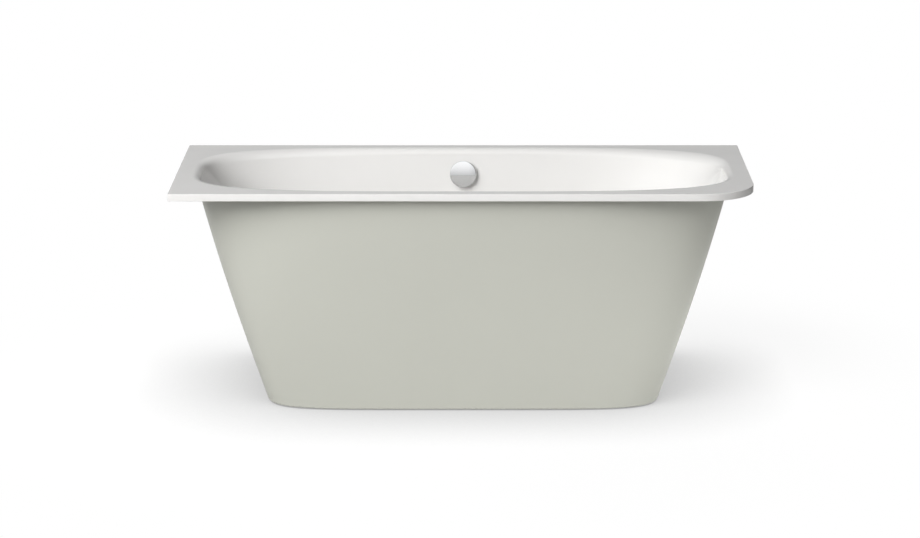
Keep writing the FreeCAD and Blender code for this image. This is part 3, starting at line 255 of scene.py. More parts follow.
# Black nitrile rubber: dead matt with a grain of about 2 mm.
blackRubber = plainMaterial("nitrileRubber", "242425", "171718", 0.78, 0, 500, 0.0002)
# Closed-cell foam tape: matt dark grey, visibly porous at about 1 mm.
foam = plainMaterial("closedCellFoam", "56585A", "3A3B3D", 0.9, 0, 900, 0.0005)
# Bitumen mat: heavy, matt and crinkled every 11 mm or so.
bitumen = plainMaterial("bitumenMat", "34363A", "222326", 0.7, 0, 90, 0.0008)
# Moulded black nylon: a spark-eroded texture of under 2 mm.
blackNylon = plainMaterial("mouldedNylonBlack", "2C2D2F", "212224", 0.5, 0, 600, 0.00015)
# Moulded polypropylene: pale grey, waxy and smooth, cloudy over about 6 mm.
polypropylene = plainMaterial("mouldedPolypropylene", "DCDDDC", "CFD0CF", 0.38, 0, 180, 0.0001)
# Extruded PVC sheath of the control cable: black, with a soft shine and a grain of about 3 mm.
cableSheath = plainMaterial("pvcSheath", "26272A", "1B1C1E", 0.45, 0, 300, 0.0001)

# Hot-dip galvanised steel: cool grey zinc whose crystals, about 9 mm wide, catch the light one by one.
galvanised, tree, shader = newMaterial("hotDipGalvanisedSteel", {
    "Base Color": fromHex("C0C5C8"), "Metallic": 1, "Roughness": 0.4})
spot = addNode(tree, "TexCoord")
spangle = addNode(tree, "TexVoronoi", values={"Scale": 110}, links={"Vector": spot.outputs["Object"]})
grey = addNode(tree, "SeparateColor", links={"Color": spangle.outputs["Color"]})
tone = addNode(tree, "Mix", {"data_type": "RGBA"}, {"A": fromHex("ABB1B5"), "B": fromHex("D2D6D9")},
               {"Factor": grey.outputs[0]})
tree.links.new(tone.outputs["Result"], shader.inputs["Base Color"])
gloss = addNode(tree, "MapRange", values={"To Min": 0.3, "To Max": 0.52},
                links={"Value": grey.outputs[1]})
tree.links.new(gloss.outputs[0], shader.inputs["Roughness"])

slotMaterials = {
    "white_enamel": whiteEnamel, "sage_enamel": sageEnamel, "chrome": chrome, "brass": brass,
    "stainless_steel": stainless, "galvanised_steel": galvanised, "zinc_steel": zincSteel,
    "black_rubber": blackRubber, "bitumen": bitumen, "foam": foam, "black_plastic": blackNylon,
    "grey_plastic": polypropylene}
for part in frame["record"]["subparts"]:
    for materialSlot in nodes[part["node"]].material_slots:
        materialSlot.material = slotMaterials[part["material_slot"]]
nodes["control_cable"].material_slots[0].material = cableSheath
print("materials ready:", len(bpy.data.materials))


# The tub's shell: one closed skin, from the drain hole up the bowl, over the rim and down its hidden
# side.
tub = {
    "length": 1.600, "width": 0.700, "height": 0.620,
    "rimDepth": 0.020, "sheet": 0.003,
    "freeCorner": 0.150, "wallCorner": 0.0035,  # radii of the rim's corners, seen from above
    "rimEdge": 0.0015,
    "rimEnd": 0.043, "rimSide": 0.034,  # flat of the rim beside the opening
    "openingPower": 3.7, "creasePower": 3.1, "floorPower": 3.0,  # roundness from above, 2 is an ellipse
    "rollIn": 0.022, "rollDrop": 0.020,  # the rolled edge, a quarter of an ellipse down to the crease
    "endSlope": 30, "sideSlope": 10,  # degrees off the upright
    "bowlDepth": 0.450, "bowlRound": 0.110,
    "dish": 0.050, "dishTaper": 0.008, "dishDepth": 0.004, "drainHole": 0.026,
    "overflowHole": 0.026, "overflowDrop": 0.073,
    "steps": 400, "rollRows": 16, "wallRows": 30, "roundRows": 24, "floorRows": 10,
    "roundTurn": 80,  # degrees of the round at the floor that get rows of their own
    "firstRow": 0.0012,  # below the crease, which keeps it crisp
    "flatSpread": 1.15,  # of the dish's radius, where the flat floor's rows end
}
rimTop = tub["height"]
creaseHeight = tub["height"] - tub["rollDrop"]
bowlFloor = tub["height"] - tub["bowlDepth"]
openingHalf = (tub["length"] / 2 - tub["rimEnd"], tub["width"] / 2 - tub["rimSide"])


def ringTurns():
    # equal steps, with a few more at the three corners that are nearly sharp
    turns = [2 * math.pi * i / tub["steps"] for i in range(tub["steps"])]
    half = (tub["length"] / 2, tub["width"] / 2)
    for corner in (45, 135, 225):
        for share in (1.0, 0.6, 0.25):
            cut = tub["wallCorner"] * share
            onEnd = math.degrees(math.atan2(half[1] - cut, half[1]))
            onSide = math.degrees(math.atan2(half[0], half[0] - cut))
            gaps = (45 - onEnd, onSide - 45)
            first, last = gaps if corner != 135 else gaps[::-1]
            turns += [math.radians(corner - first), math.radians(corner + last)]
    return sorted(turns)


turns = ringTurns()


def superellipse(length, width, power, height):
    ring = []
    for turn in turns:
        c, s = math.cos(turn), math.sin(turn)
        reach = (abs(c) ** power + abs(s) ** power) ** (-1 / power)
        ring.append((length * reach * c, width * reach * s, height))
    return ring


def rimRing(inset, height):
    # the rim's outline, moved in by inset; three tight corners and a wide one at the front right
    halfLength, halfWidth = tub["length"] / 2, tub["width"] / 2
    ring = []
    for turn in turns:
        c, s = math.cos(turn), math.sin(turn)
        reach = 1 / max(abs(c), abs(s))
        x, y = halfLength * reach * c, halfWidth * reach * s
        radius = max(tub["freeCorner"] if c > 0 and s < 0 else tub["wallCorner"], inset + 0.0005)
        centreX = math.copysign(halfLength - radius, x)
        centreY = math.copysign(halfWidth - radius, y)
        if abs(x) > abs(centreX) and abs(y) > abs(centreY):
            outwards = Vector((x - centreX, y - centreY)).normalized() * (radius - inset)
            x, y = centreX + outwards.x, centreY + outwards.y
        else:
            x = max(-halfLength + inset, min(halfLength - inset, x))
            y = max(-halfWidth + inset, min(halfWidth - inset, y))
        ring.append((x, y, height))
    return ring


def bowlReach(crease, slope, height, sheet):
    # half length or half width of the bowl at a height: a straight wall, then a round
    floor = bowlFloor - sheet
    radius = tub["bowlRound"] + sheet
    tangent = floor + radius * (1 - math.sin(slope))
    if height >= tangent:
        return crease - (creaseHeight - height) * math.tan(slope)
    centre = crease - (creaseHeight - tangent) * math.tan(slope) - radius * math.cos(slope)
    return centre + math.sqrt(max(radius ** 2 - (floor + radius - height) ** 2, 0))


def bowlRing(height, sheet):
    share = (creaseHeight - height) / (creaseHeight - bowlFloor)
    power = tub["creasePower"] + share * (tub["floorPower"] - tub["creasePower"])
    halves = [bowlReach(half - tub["rollIn"] + sheet, math.radians(tub[slope]), height, sheet)
              for half, slope in zip(openingHalf, ("endSlope", "sideSlope"))]
    return superellipse(halves[0], halves[1], power, height)


def bowlSide(sheet):
    # rings from the rim's flat, over the rolled edge and down to the drain hole; the first two, close
    # together, keep the flat from shading like the roll
    rings = []
    for outwards in (0.004, 0.0015):
        rings.append(superellipse(openingHalf[0] + outwards, openingHalf[1] + outwards,
                                  tub["openingPower"], rimTop - sheet))
    rollRows = tub["rollRows"]
    for i in range(rollRows + 1):
        turn = math.radians(90 * i / rollRows)
        inwards = (tub["rollIn"] - sheet) * math.sin(turn)
        power = tub["openingPower"] + (tub["creasePower"] - tub["openingPower"]) * i / rollRows
        rings.append(superellipse(openingHalf[0] - inwards, openingHalf[1] - inwards, power,
                                  creaseHeight + (tub["rollDrop"] - sheet) * math.cos(turn)))
    radius = tub["bowlRound"] + sheet
    floor = bowlFloor - sheet
    roundTurn = tub["roundTurn"]
    lowWall = floor + radius * (1 - math.cos(math.radians(roundTurn)))
    highWall = creaseHeight - tub["firstRow"]
    heights = [highWall + (lowWall - creaseHeight) * i / tub["wallRows"] for i in range(tub["wallRows"] + 1)]
    for i in range(1, tub["roundRows"] + 1):
        turn = math.radians(roundTurn - roundTurn * i / tub["roundRows"])
        heights.append(floor + radius * (1 - math.cos(turn)))
    rings += [bowlRing(height, sheet) for height in heights]
    start = rings[-1]
    dish = tub["dish"] + sheet
    for i in range(1, tub["floorRows"]):
        share, rest = i / tub["floorRows"], 1 - i / tub["floorRows"]
        rings.append([(point[0] * rest + tub["flatSpread"] * dish * math.cos(turn) * share,
                       point[1] * rest + tub["flatSpread"] * dish * math.sin(turn) * share, floor)
                      for turn, point in zip(turns, start)])
    low = floor - tub["dishDepth"]
    inner = dish - tub["dishTaper"]
    dishProfile = ((dish + 0.0035, floor), (dish + 0.001, floor - 0.0002), (dish - 0.001, floor - 0.0007),
                   (inner + 0.001, low + 0.0007), (inner - 0.001, low + 0.0002), (inner - 0.0035, low),
                   (tub["drainHole"], low))
    for reach, height in dishProfile:
        rings.append([(reach * math.cos(turn), reach * math.sin(turn), height) for turn in turns])
    return rings


# The last row of a flat and the first of a wall lie close to the edge between them, for crisp light.
edge = tub["rimEdge"]
sheet = tub["sheet"]
rimLow = tub["height"] - tub["rimDepth"]
outside = bowlSide(0)[::-1]
outside += [rimRing(0.012, rimTop), rimRing(edge + 0.0012, rimTop)]
for across, up in arc((edge, rimTop - edge), edge, 90, 180, 6):
    outside.append(rimRing(across, up))
outside += [rimRing(0, rimTop - edge - 0.001), rimRing(0, rimLow + 0.0012),
            rimRing(0.0002, rimLow + 0.0004), rimRing(0.0007, rimLow)]
visibleRings = len(outside)
hidden = [rimRing(sheet - 0.0004, rimLow), rimRing(sheet, rimLow + 0.0006),
          rimRing(sheet, rimTop - sheet)]
hidden += bowlSide(sheet)
vertices, faces = stitchRings(outside + hidden)
faceCoats = []
for row in range(len(outside + hidden)):
    faceCoats += [0 if row < visibleRings else 1] * len(turns)
tubShell = meshObject("tubShell", vertices, faces, [whiteEnamel, groundCoat], faceCoats)

# The overflow's own frame: its middle on the bowl's back wall, Y up the wall, Z out into the bowl.
slope = math.radians(tub["sideSlope"])
overflowBack = openingHalf[1] - tub["rollIn"] - (tub["overflowDrop"] - tub["rollDrop"]) * math.tan(slope)
overflowFrame = Matrix.Translation((0, overflowBack, rimTop - tub["overflowDrop"])) \
    @ Matrix.Rotation(math.radians(90) - slope, 4, "X")

holeRadius = tub["overflowHole"]
cutter = lathe("cutter", [(0.0001, -0.02), (holeRadius, -0.02), (holeRadius, 0.02), (0.0001, 0.02)],
               [whiteEnamel], 96, overflowFrame)
hole = tubShell.modifiers.new("overflowHole", "BOOLEAN")
hole.operation = "DIFFERENCE"
hole.object = cutter
hole.solver = "EXACT"
bpy.context.view_layer.update()
drilled = bpy.data.meshes.new_from_object(tubShell.evaluated_get(bpy.context.evaluated_depsgraph_get()))
tubShell.modifiers.clear()
tubShell.data = drilled
bpy.data.objects.remove(cutter)
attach(tubShell, "bath")
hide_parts("tub_shell")
print("tub shell:", len(tubShell.data.polygons), "faces")


# The apron: one sheet round the front and both ends, with a lip at the top and flanges elsewhere.
apron = {
    "gap": 0.003, "top": 0.611, "back": 0.345, "sheet": 0.002,
    "endInset": 0.057, "frontInset": 0.030,  # rim overhang
    "endTaper": 0.1935, "frontTaper": 0.014, "bulge": 0.01,
    "topPower": 3.8, "basePower": 6.0,
    "flange": 0.025, "lip": 0.018, "bend": 0.003,
    "straight": 0.002,  # of sheet beside each bend
    "lipRound": 0.0015,  # under the lip
    "steps": 160, "rows": 56, "sideRows": 12,
}


def apronPath(height, grow):
    # from the left flange at the back, round the left end, the front and the right end
    share = (rimLow - height) / (rimLow - apron["gap"])
    swell = 1 + 4 * apron["bulge"] * share * (1 - share)
    bareLength = swell * (tub["length"] / 2 - apron["endInset"]) - swell * share * apron["endTaper"]
    length = bareLength + grow
    width = swell * (tub["width"] / 2 - apron["frontInset"]) - swell * share * apron["frontTaper"] + grow
    power = apron["topPower"] + share * (apron["basePower"] - apron["topPower"])
    back = apron["back"] + min(grow, 0)
    bend = max(apron["bend"] + min(grow, 0), 0.0005) if grow > -apron["bend"] else 0
    inner = min(bareLength - apron["flange"], length - bend)
    right = [(inner, back), (length - bend - apron["straight"] if bend else inner, back)]
    for turn in (0, 22.5, 45, 67.5, 90):
        c, s = math.cos(math.radians(turn)), math.sin(math.radians(turn))
        right.append((length - bend + bend * s, back - bend + bend * c))
    sideEnd = back - bend - apron["straight"]
    right += [(length, sideEnd - sideEnd * i / apron["sideRows"]) for i in range(apron["sideRows"])]
    front = []
    for i in range(apron["steps"] + 1):
        turn = math.pi * i / apron["steps"]
        c, s = math.cos(turn), math.sin(turn)
        reach = (abs(c) ** power + abs(s) ** power) ** (-1 / power)
        front.append((length * reach * c, -width * reach * s))
    left = [(-x, y) for x, y in reversed(right)]
    return [(x, y, height) for x, y in right + front + left]


def apronProfile():
    # (grow, height) once round the sheet: lip, outer face, base flange, inner face
    top, low, thick, bend = apron["top"], apron["gap"], apron["sheet"], apron["bend"]
    straight, lipRound = apron["straight"], apron["lipRound"]
    start, end = top - thick - lipRound, low + bend + straight
    profile = [(apron["lip"], top), (apron["lip"], top - thick), (lipRound, top - thick),
               (0.0004, top - thick - 0.0004), (0, start)]
    profile += [(0, start + (end - start) * i / apron["rows"]) for i in range(1, apron["rows"] + 1)]
    profile += [(across - bend, low + bend + up) for across, up in arc((0, 0), bend, 0, -90, 6)]
    profile += [(-bend - straight, low), (-apron["flange"], low), (-apron["flange"], low + thick),
                (-bend - straight, low + thick), (-bend, low + thick), (-thick, low + bend),
                (-thick, end)]
    profile += [(-thick, end + (start - end) * i / apron["rows"]) for i in range(1, apron["rows"] + 1)]
    profile += [(-thick, top)]
    return profile


# The rings are open at the back, so the two cut ends get a face of their own.
rings = [apronPath(height, grow) for grow, height in apronProfile()]
count = len(rings[0])
vertices = [point for ring in rings for point in ring]
faces = []
for row in range(len(rings)):
    below, above = row * count, (row + 1) % len(rings) * count
    faces += [(below + i, below + i + 1, above + i + 1, above + i) for i in range(count - 1)]
faces.append([row * count for row in range(len(rings))])
faces.append([row * count + count - 1 for row in reversed(range(len(rings)))])
apronSheet = meshObject("apronSheet", vertices, faces, [sageEnamel])
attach(apronSheet, "bath")
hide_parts("apron")
print("apron:", len(apronSheet.data.polygons), "faces")


# The knob on the overflow and the plug's cap: shallow domes with rounded edges.
knob = {
    "radius": 0.0385, "front": 0.020, "gap": 0.008, "dome": 0.0025,
    "edge": 0.003, "wall": 0.003, "hub": 0.011, "bore": 0.0061,
}


def domeProfile(radius, top, drop, edge, steps=24):
    # from the axis over a shallow dome to its rounded edge
    inner = radius - edge
    big = (inner ** 2 + drop ** 2) / (2 * drop)
    reach = math.asin(inner / big)
    leans = [reach * i / steps for i in range(steps)]
    profile = [(max(big * math.sin(lean), nearAxis), top - big + big * math.cos(lean)) for lean in leans]
    tilt = 90 - math.degrees(reach)
    return profile + arc((inner, top - drop - edge), edge, tilt, 0, 10)


radius, front, gap = knob["radius"], knob["front"], knob["gap"]
ceiling = front - knob["dome"] - knob["wall"]
profile = domeProfile(radius, front, knob["dome"], knob["edge"])
profile += [(radius, gap + 0.0006), (radius - 0.0002, gap + 0.0002), (radius - 0.0006, gap),
            (radius - knob["wall"], gap), (radius - knob["wall"], ceiling), (knob["hub"], ceiling),
            (knob["hub"], gap), (knob["bore"], gap), (knob["bore"], front - knob["wall"]),
            (nearAxis, front - knob["wall"])]
overflowKnob = lathe("overflowKnob", profile, [chrome], 192, overflowFrame)
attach(overflowKnob, "overflow_knob")
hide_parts("overflow_knob")

plug = {
    "radius": 0.031, "low": 0.171, "height": 0.006, "dome": 0.002, "edge": 0.002,
    "bore": 0.0041, "socket": 0.003,
}
low, top = plug["low"], plug["low"] + plug["height"]
profile = domeProfile(plug["radius"], top, plug["dome"], plug["edge"])
profile += [(plug["radius"], low + 0.0004), (plug["radius"] - 0.0004, low), (plug["bore"], low),
            (plug["bore"], low + plug["socket"]), (nearAxis, low + plug["socket"])]
plugCap = lathe("plugCap", profile, [chrome], 160)
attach(plugCap, "plug")
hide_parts("plug_cap")
print("knob and plug made")


# What stands beneath and behind: threads, chamfered nuts, ribbed union nuts, rails and foot pads.

def manyOf(name, shape, places, materials):
    # one mesh with the same shape at several places
    vertices, faces = [], []
    for place in places:
        start = len(vertices)
        vertices += [tuple(place @ Vector(point)) for point in shape[0]]
        faces += [tuple(start + i for i in face) for face in shape[1]]
    return meshObject(name, vertices, faces, materials, sharpAngle=30)


def roundRings(profile, reach, steps):
    # rings of (radius, height); reach bends each point's radius by its turn
    rings = []
    for radius, height in profile:
        ring = []
        for i in range(steps):
            turn = 2 * math.pi * i / steps
            r = reach(radius, turn)
            ring.append((r * math.cos(turn), r * math.sin(turn), height))
        rings.append(ring)
    return stitchRings(rings)


def hexShape(flats, bore, low, high):
    # a hexagon with its corners along X, turned off at 30 degrees at both ends
    corner = flats / 2 / math.cos(math.radians(30))
    start = flats * 0.475
    slant = math.tan(math.radians(30))
    cuts = [start + (corner - start) * i / 4 for i in range(5)]
    profile = [(bore, low)] + [(cut, low + (cut - start) * slant) for cut in cuts]
    profile += [(cut, high - (cut - start) * slant) for cut in reversed(cuts)] + [(bore, high)]

    def reach(radius, turn):
        return min(radius, flats / 2 / math.cos(turn % math.radians(60) - math.radians(30)))

    return roundRings(profile, reach, 72)


feet = {
    "x": 0.300, "y": 0.235, "railX": 0.020, "railEnd": 0.275, "railLow": 0.134, "railTop": 0.164,
    "railRound": 0.003, "railSheet": 0.002, "spindleHole": 0.0063,
    "screwX": 0.010, "screwY": -0.2625, "screwHole": 0.00255, "drillPast": 0.005,
    "nutFlats": 0.019, "nutHeight": 0.010, "nutBore": 0.00605,
    "spindle": 0.006, "pitch": 0.00175, "threadDepth": 0.0008, "spindleLow": 0.008, "spindleTop": 0.219,
    "threadSteps": 20, "threadRows": 4,  # points round a turn and rows in each pitch
    "collarFlats": 0.017, "collarLow": 0.024, "collarTop": 0.032, "collarBore": 0.0045,
    "padLow": 0.003, "padSeat": 0.008, "padTop": 0.020, "padRadius": 0.030,
    "padFlare": [(0.0119, 0.0194), (0.0126, 0.0180), (0.0140, 0.0156), (0.0162, 0.0134), (0.0192, 0.0115),
                 (0.0232, 0.0099), (0.0285, 0.0082), (0.0296, 0.0077)],  # radius and height, from the neck
}
footPlaces = [(name, Matrix.Translation((x * feet["x"], y * feet["y"], 0)))
              for name, x, y in (("front_left", -1, -1), ("back_left", -1, 1),
                                 ("front_right", 1, -1), ("back_right", 1, 1))]
everyFoot = [place for name, place in footPlaces]

for node, low in (("foot_lock_nuts", feet["railLow"] - feet["nutHeight"]),
                  ("rail_weld_nuts", feet["railTop"])):
    shape = hexShape(feet["nutFlats"], feet["nutBore"], low, low + feet["nutHeight"])
    nuts = manyOf(node + "Turned", shape, everyFoot, [zincSteel])
    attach(nuts, "bath")
    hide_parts(node)


def threadShape():
    # an M12 thread as a fine grid: the radius dips with height and turn
    low, top = feet["spindleLow"], feet["spindleTop"]
    steps = feet["threadSteps"]
    rows = round((top - low) / feet["pitch"] * feet["threadRows"])
    rings = []
    for row in range(rows + 1):
        height = low + (top - low) * row / rows
        blunt = min(height - low, top - height) + feet["spindle"] - 0.0012
        ring = []
        for i in range(steps):
            dip = abs(2 * (((height - low) / feet["pitch"] - i / steps) % 1) - 1)
            radius = min(feet["spindle"] - feet["threadDepth"] * dip, blunt)
            turn = 2 * math.pi * i / steps
            ring.append((radius * math.cos(turn), radius * math.sin(turn), height))
        rings.append(ring)
    vertices, faces = stitchRings(rings, closed=False)
    last = rows * steps
    return vertices, faces + [tuple(range(steps))[::-1], tuple(range(last, last + steps))]


thread = threadShape()
collar = hexShape(feet["collarFlats"], feet["collarBore"], feet["collarLow"], feet["collarTop"])
spindleShape = (thread[0] + collar[0],
                thread[1] + [tuple(len(thread[0]) + i for i in face) for face in collar[1]])
padProfile = [(nearAxis, feet["padLow"]), (nearAxis, feet["padSeat"]), (feet["nutBore"], feet["padSeat"]),
              (feet["nutBore"], feet["padTop"]), (0.0112, feet["padTop"])]
padProfile += feet["padFlare"] + [(feet["padRadius"], 0.0068), (feet["padRadius"], 0.0035),
                                  (0.0296, feet["padLow"])]
padShape = roundRings(padProfile, lambda radius, turn: radius, 96)
for name, place in footPlaces:
    spindle = manyOf("footSpindle_" + name, spindleShape, [place], [zincSteel])
    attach(spindle, "spindle_" + name)
    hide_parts("foot_spindle_" + name)
    pad = manyOf("footPad_" + name, padShape, [place], [blackNylon])
    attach(pad, "foot_" + name)
    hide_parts("foot_pad_" + name)


def railShape():
    # a square tube, rounded along its edges, outer skin and then inner skin
    rings = []
    middle = (feet["railLow"] + feet["railTop"]) / 2
    for inset, y in ((0, -1), (0, 1), (feet["railSheet"], 1), (feet["railSheet"], -1)):
        radius = max(feet["railRound"] - inset, 0.001)
        halfX = feet["railX"] - inset - radius
        halfZ = (feet["railTop"] - feet["railLow"]) / 2 - inset - radius
        ring = []
        for start, x, z in ((0, 1, 1), (90, -1, 1), (180, -1, -1), (270, 1, -1)):
            ring += [(across, y * feet["railEnd"], up + middle)
                     for across, up in arc((x * halfX, z * halfZ), radius, start, start + 90, 6)]
        rings.append(ring)
    return stitchRings(rings)


def drillOut(piece, holes):
    # holes: (x, y, low, high, radius), upright
    for x, y, low, high, radius in holes:
        tool = lathe("tool", [(nearAxis, low), (radius, low), (radius, high), (nearAxis, high)], [], 48,
                     Matrix.Translation((x, y, 0)))
        drill = piece.modifiers.new("drill", "BOOLEAN")
        drill.operation = "DIFFERENCE"
        drill.object = tool
        drill.solver = "EXACT"
        bpy.context.view_layer.update()
        result = piece.evaluated_get(bpy.context.evaluated_depsgraph_get())
        piece.data = bpy.data.meshes.new_from_object(result)
        piece.modifiers.clear()
        bpy.data.objects.remove(tool)


for side, x in (("left", -feet["x"]), ("right", feet["x"])):
    rail = manyOf("rail" + side.capitalize(), railShape(), [Matrix.Translation((x, 0, 0))], [galvanised])
    low, high, past = feet["railLow"], feet["railTop"], feet["drillPast"]
    holes = [(x, way * feet["y"], low - past, high + past, feet["spindleHole"]) for way in (-1, 1)]
    holes += [(x + way * feet["screwX"], feet["screwY"], low - past, low + past, feet["screwHole"])
              for way in (-1, 1)]
    drillOut(rail, holes)
    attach(rail, "bath")
    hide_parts("rail_" + side)
print("rails, feet, spindles and nuts made")

unionNut = {
    "half": 0.011, "wall": 0.006, "play": 0.0003,
    "ribs": 20, "groove": 0.0014, "collar": 0.004, "edge": 0.0012,
    "smallPipe": 0.016, "bigPipe": 0.020,  # radii
}


def unionShape(pipe):
    # a plain collar at one end and a ribbed grip with softened edges, about its own middle
    half, edge = unionNut["half"], unionNut["edge"]
    bore = pipe + unionNut["play"]
    outer = bore + unionNut["wall"]
    gripLow = -half + unionNut["collar"]
    profile = [(bore, -half), (outer - edge, -half), (outer - 0.0004, -half + 0.0004),
               (outer, -half + edge), (outer, gripLow - 0.0006), (outer - 0.0003, gripLow),
               (outer - 0.0004, gripLow + 0.0006), (outer - 0.0004, half - 0.003),
               (outer - 0.0008, half - 0.001), (outer - 0.0024, half), (bore, half)]
    ribbed = outer - 0.0003

    def reach(radius, turn):
        phase = turn * unionNut["ribs"] / (2 * math.pi) % 1
        dip = max(0, 1 - (abs(phase - 0.5) / 0.3) ** 4)
        grip = bore + 0.001 < radius < ribbed and radius != outer - edge
        return radius - unionNut["groove"] * dip * grip

    return roundRings(profile, reach, unionNut["ribs"] * 10)


alongWall = Matrix.Rotation(math.radians(-90), 4, "X")
unionPlaces = (
    ("overflow_top_nut", "smallPipe", overflowFrame @ Matrix.Translation((0, -0.050, -0.026)) @ alongWall),
    ("overflow_bottom_nut", "smallPipe", Matrix.Translation((0, 0.060, 0.130)) @ alongWall),
    ("trap_inlet_nut", "bigPipe", Matrix.Translation((0, 0, 0.098))),
    ("trap_outlet_nut", "bigPipe", Matrix.Translation((0.062, 0.045, 0.092)) @ alongWall))
for node, pipe, place in unionPlaces:
    nut = manyOf(node + "Ribbed", unionShape(unionNut[pipe]), [place], [polypropylene])
    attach(nut, "bath")
    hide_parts(node)
print("union nuts made")


# The studio: one wide soft lamp from the front left, a weaker one in front, one behind that lights the
# basin's near wall, low ones for the right end and the open back, and a floor that the camera sees
# nearly white, with a contact shadow painted into its glow from ambient occlusion round the tub.
studio = {
    "world": 0.10,  # light from all round
    "horizon": 0.55, "zenith": 1.15, "zenithStart": 0.42,  # the sky that gloss reflects
    "darkRight": 0.15, "dimBack": 0.5,  # its share to the right and behind
    "rightFrom": 0.1, "rightTo": 0.7, "backFrom": -0.3, "backTo": 0.5,  # directions where it falls off
    "floorColour": "C4C3C2",
    "floorLit": 0.14, "floorGlow": 0.89, "shadowLevel": 0.34, "shadowReach": 0.37,  # to the camera
    "whiteStart": 0.9, "whiteEnd": 1.6,  # metres from the middle, where it fades to white
    "darkStart": 0.8, "darkEnd": 2.0,  # metres to the right, where gloss sees it darken
    "halfFloor": 20, "floorDrop": 0.0005,
    "aim": (0, 0, 0.4), "lowAim": (0, 0, 0.14),  # the low lamps stand level with what they light
    "lamps": {  # azimuth, left of the camera negative, elevation and distance; power in watts
        "frontLeft": {"place": (-39, 38, 8.0), "size": (6.5, 6.5), "power": 540},
        "front": {"place": (-22, 24, 8.0), "size": (4.5, 4.5), "power": 130},
        "behind": {"place": (180, 20, 8.0), "size": (4.5, 4.5), "power": 240},
        "lowRight": {"place": (75, 0, 2.6), "size": (1.6, 0.2), "power": 2.2, "spread": 38},
        "lowBack": {"place": (-170, 0, 3.4), "size": (2.2, 0.5), "power": 50},
    },
}

half = studio["halfFloor"]
floor = meshObject("floor", [(-half, -half, 0), (half, -half, 0), (half, half, 0), (-half, half, 0)],
                   [(0, 1, 2, 3)], [])
floor.location.z = -studio["floorDrop"]
floorMaterial = bpy.data.materials.new("studioFloor")
floorMaterial.use_nodes = True
tree = floorMaterial.node_tree
tree.nodes.clear()
paint = addNode(tree, "BsdfDiffuse", values={"Color": fromHex(studio["floorColour"])})
palePaint = addNode(tree, "BsdfDiffuse", values={"Color": [studio["floorLit"]] * 3 + [1]})
# Painted shadow: ambient occlusion dims the floor's glow near the tub, a contact shadow that no lamp casts.
openness = addNode(tree, "AmbientOcclusion", {"samples": 8}, {"Distance": studio["shadowReach"]})
strength = addNode(tree, "MapRange", values={"To Min": studio["floorGlow"] * studio["shadowLevel"],
                                             "To Max": studio["floorGlow"]},
                   links={"Value": openness.outputs["AO"]})
glow = addNode(tree, "Emission", values={"Color": (1, 1, 1, 1)}, links={"Strength": strength.outputs[0]})
near = addNode(tree, "AddShader", links={0: palePaint.outputs[0], 1: glow.outputs[0]})
spot = addNode(tree, "TexCoord")
parts = addNode(tree, "SeparateXYZ", links={0: spot.outputs["Object"]})
side = addNode(tree, "MapRange", {"interpolation_type": "SMOOTHSTEP"},
               {"From Min": studio["darkStart"], "From Max": studio["darkEnd"],
                "To Min": 1.0, "To Max": studio["darkRight"]},
               {"Value": parts.outputs["X"]})
path = addNode(tree, "LightPath")
farLevel = addNode(tree, "Mix", values={"A": 1.0},
                   links={"Factor": path.outputs["Is Glossy Ray"], "B": side.outputs[0]})
far = addNode(tree, "Emission", values={"Color": (1, 1, 1, 1)}, links={"Strength": farLevel.outputs[0]})
reach = addNode(tree, "VectorMath", {"operation": "LENGTH"}, links={0: spot.outputs["Object"]})
fade = addNode(tree, "MapRange", {"interpolation_type": "SMOOTHSTEP"},
               {"From Min": studio["whiteStart"], "From Max": studio["whiteEnd"]},
               {"Value": reach.outputs["Value"]})
shown = addNode(tree, "MixShader", links={0: fade.outputs[0], 1: near.outputs[0], 2: far.outputs[0]})
seen = addNode(tree, "Math", {"operation": "MAXIMUM"},
               links={0: path.outputs["Is Camera Ray"], 1: path.outputs["Is Glossy Ray"]})
surface = addNode(tree, "MixShader",
                  links={0: seen.outputs[0], 1: paint.outputs[0], 2: shown.outputs[0]})
addNode(tree, "OutputMaterial", links={"Surface": surface.outputs[0]})
floor.data.materials.append(floorMaterial)

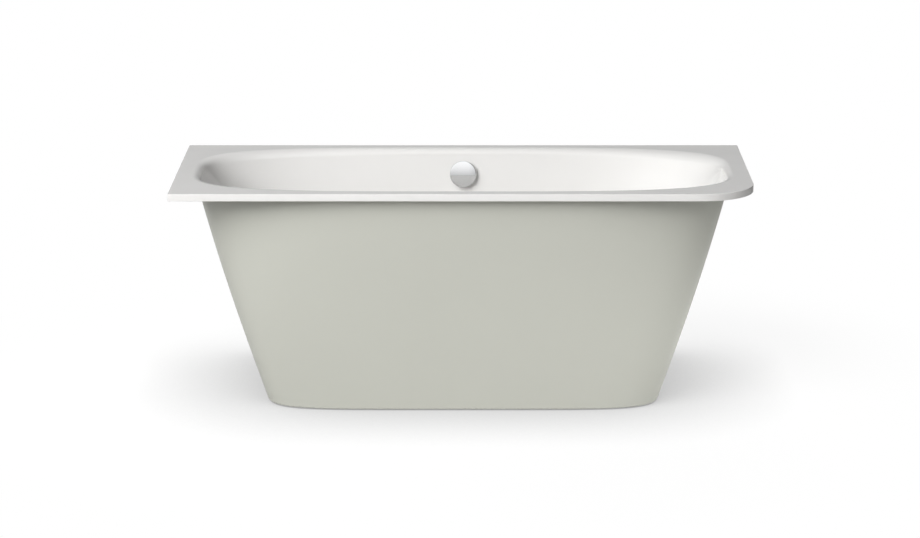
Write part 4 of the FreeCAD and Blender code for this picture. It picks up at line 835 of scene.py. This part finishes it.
# White to the camera and dim to the surfaces. Gloss sees a soft sky, darker to the right and behind.
world = bpy.data.worlds.new("studioWorld")
bpy.context.scene.world = world
world.use_nodes = True
tree = world.node_tree
tree.nodes.clear()
path = addNode(tree, "LightPath")
direction = addNode(tree, "TexCoord")
parts = addNode(tree, "SeparateXYZ", links={0: direction.outputs["Generated"]})
sky = addNode(tree, "MapRange", {"interpolation_type": "SMOOTHSTEP"},
              {"From Max": studio["zenithStart"], "To Min": studio["horizon"], "To Max": studio["zenith"]},
              {"Value": parts.outputs["Z"]})
side = addNode(tree, "MapRange", {"interpolation_type": "SMOOTHSTEP"},
               {"From Min": studio["rightFrom"], "From Max": studio["rightTo"],
                "To Min": 1.0, "To Max": studio["darkRight"]},
               {"Value": parts.outputs["X"]})
back = addNode(tree, "MapRange", {"interpolation_type": "SMOOTHSTEP"},
               {"From Min": studio["backFrom"], "From Max": studio["backTo"],
                "To Min": 1.0, "To Max": studio["dimBack"]},
               {"Value": parts.outputs["Y"]})
sides = addNode(tree, "Math", {"operation": "MULTIPLY"},
                links={0: side.outputs[0], 1: back.outputs[0]})
mirrored = addNode(tree, "Math", {"operation": "MULTIPLY"},
                   links={0: sky.outputs[0], 1: sides.outputs[0]})
forGloss = addNode(tree, "Mix", values={"A": studio["world"]},
                   links={"Factor": path.outputs["Is Glossy Ray"], "B": mirrored.outputs[0]})
seen = addNode(tree, "Math", {"operation": "MAXIMUM"},
               links={0: path.outputs["Is Camera Ray"], 1: path.outputs["Is Transmission Ray"]})
level = addNode(tree, "Mix", values={"B": 1.0},
                links={"Factor": seen.outputs[0], "A": forGloss.outputs[0]})
backdrop = addNode(tree, "Background", values={"Color": (1, 1, 1, 1)},
                   links={"Strength": level.outputs[0]})
addNode(tree, "OutputWorld", links={"Surface": backdrop.outputs[0]})

for name, lamp in studio["lamps"].items():
    azimuth, elevation, distance = lamp["place"]
    aim = Vector(studio["aim"] if elevation else studio["lowAim"])
    azimuth, elevation = math.radians(azimuth), math.radians(elevation)
    light = bpy.data.lights.new(name, "AREA")
    light.shape = "ELLIPSE" if elevation else "RECTANGLE"
    light.size, light.size_y = lamp["size"]
    light.energy = lamp["power"]
    light.spread = math.radians(lamp.get("spread", 180))
    holder = bpy.data.objects.new(name, light)
    holder.location = aim + distance * Vector((math.sin(azimuth) * math.cos(elevation),
                                               -math.cos(azimuth) * math.cos(elevation),
                                               math.sin(elevation)))
    holder.rotation_euler = (aim - holder.location).to_track_quat("-Z", "Y").to_euler()
    holder.visible_glossy = False  # the sky gives the reflections, without a lamp's hard edge
    bpy.context.scene.collection.objects.link(holder)

bpy.context.scene.view_settings.view_transform = "Standard"
print("studio lit by", len(studio["lamps"]), "lamps")
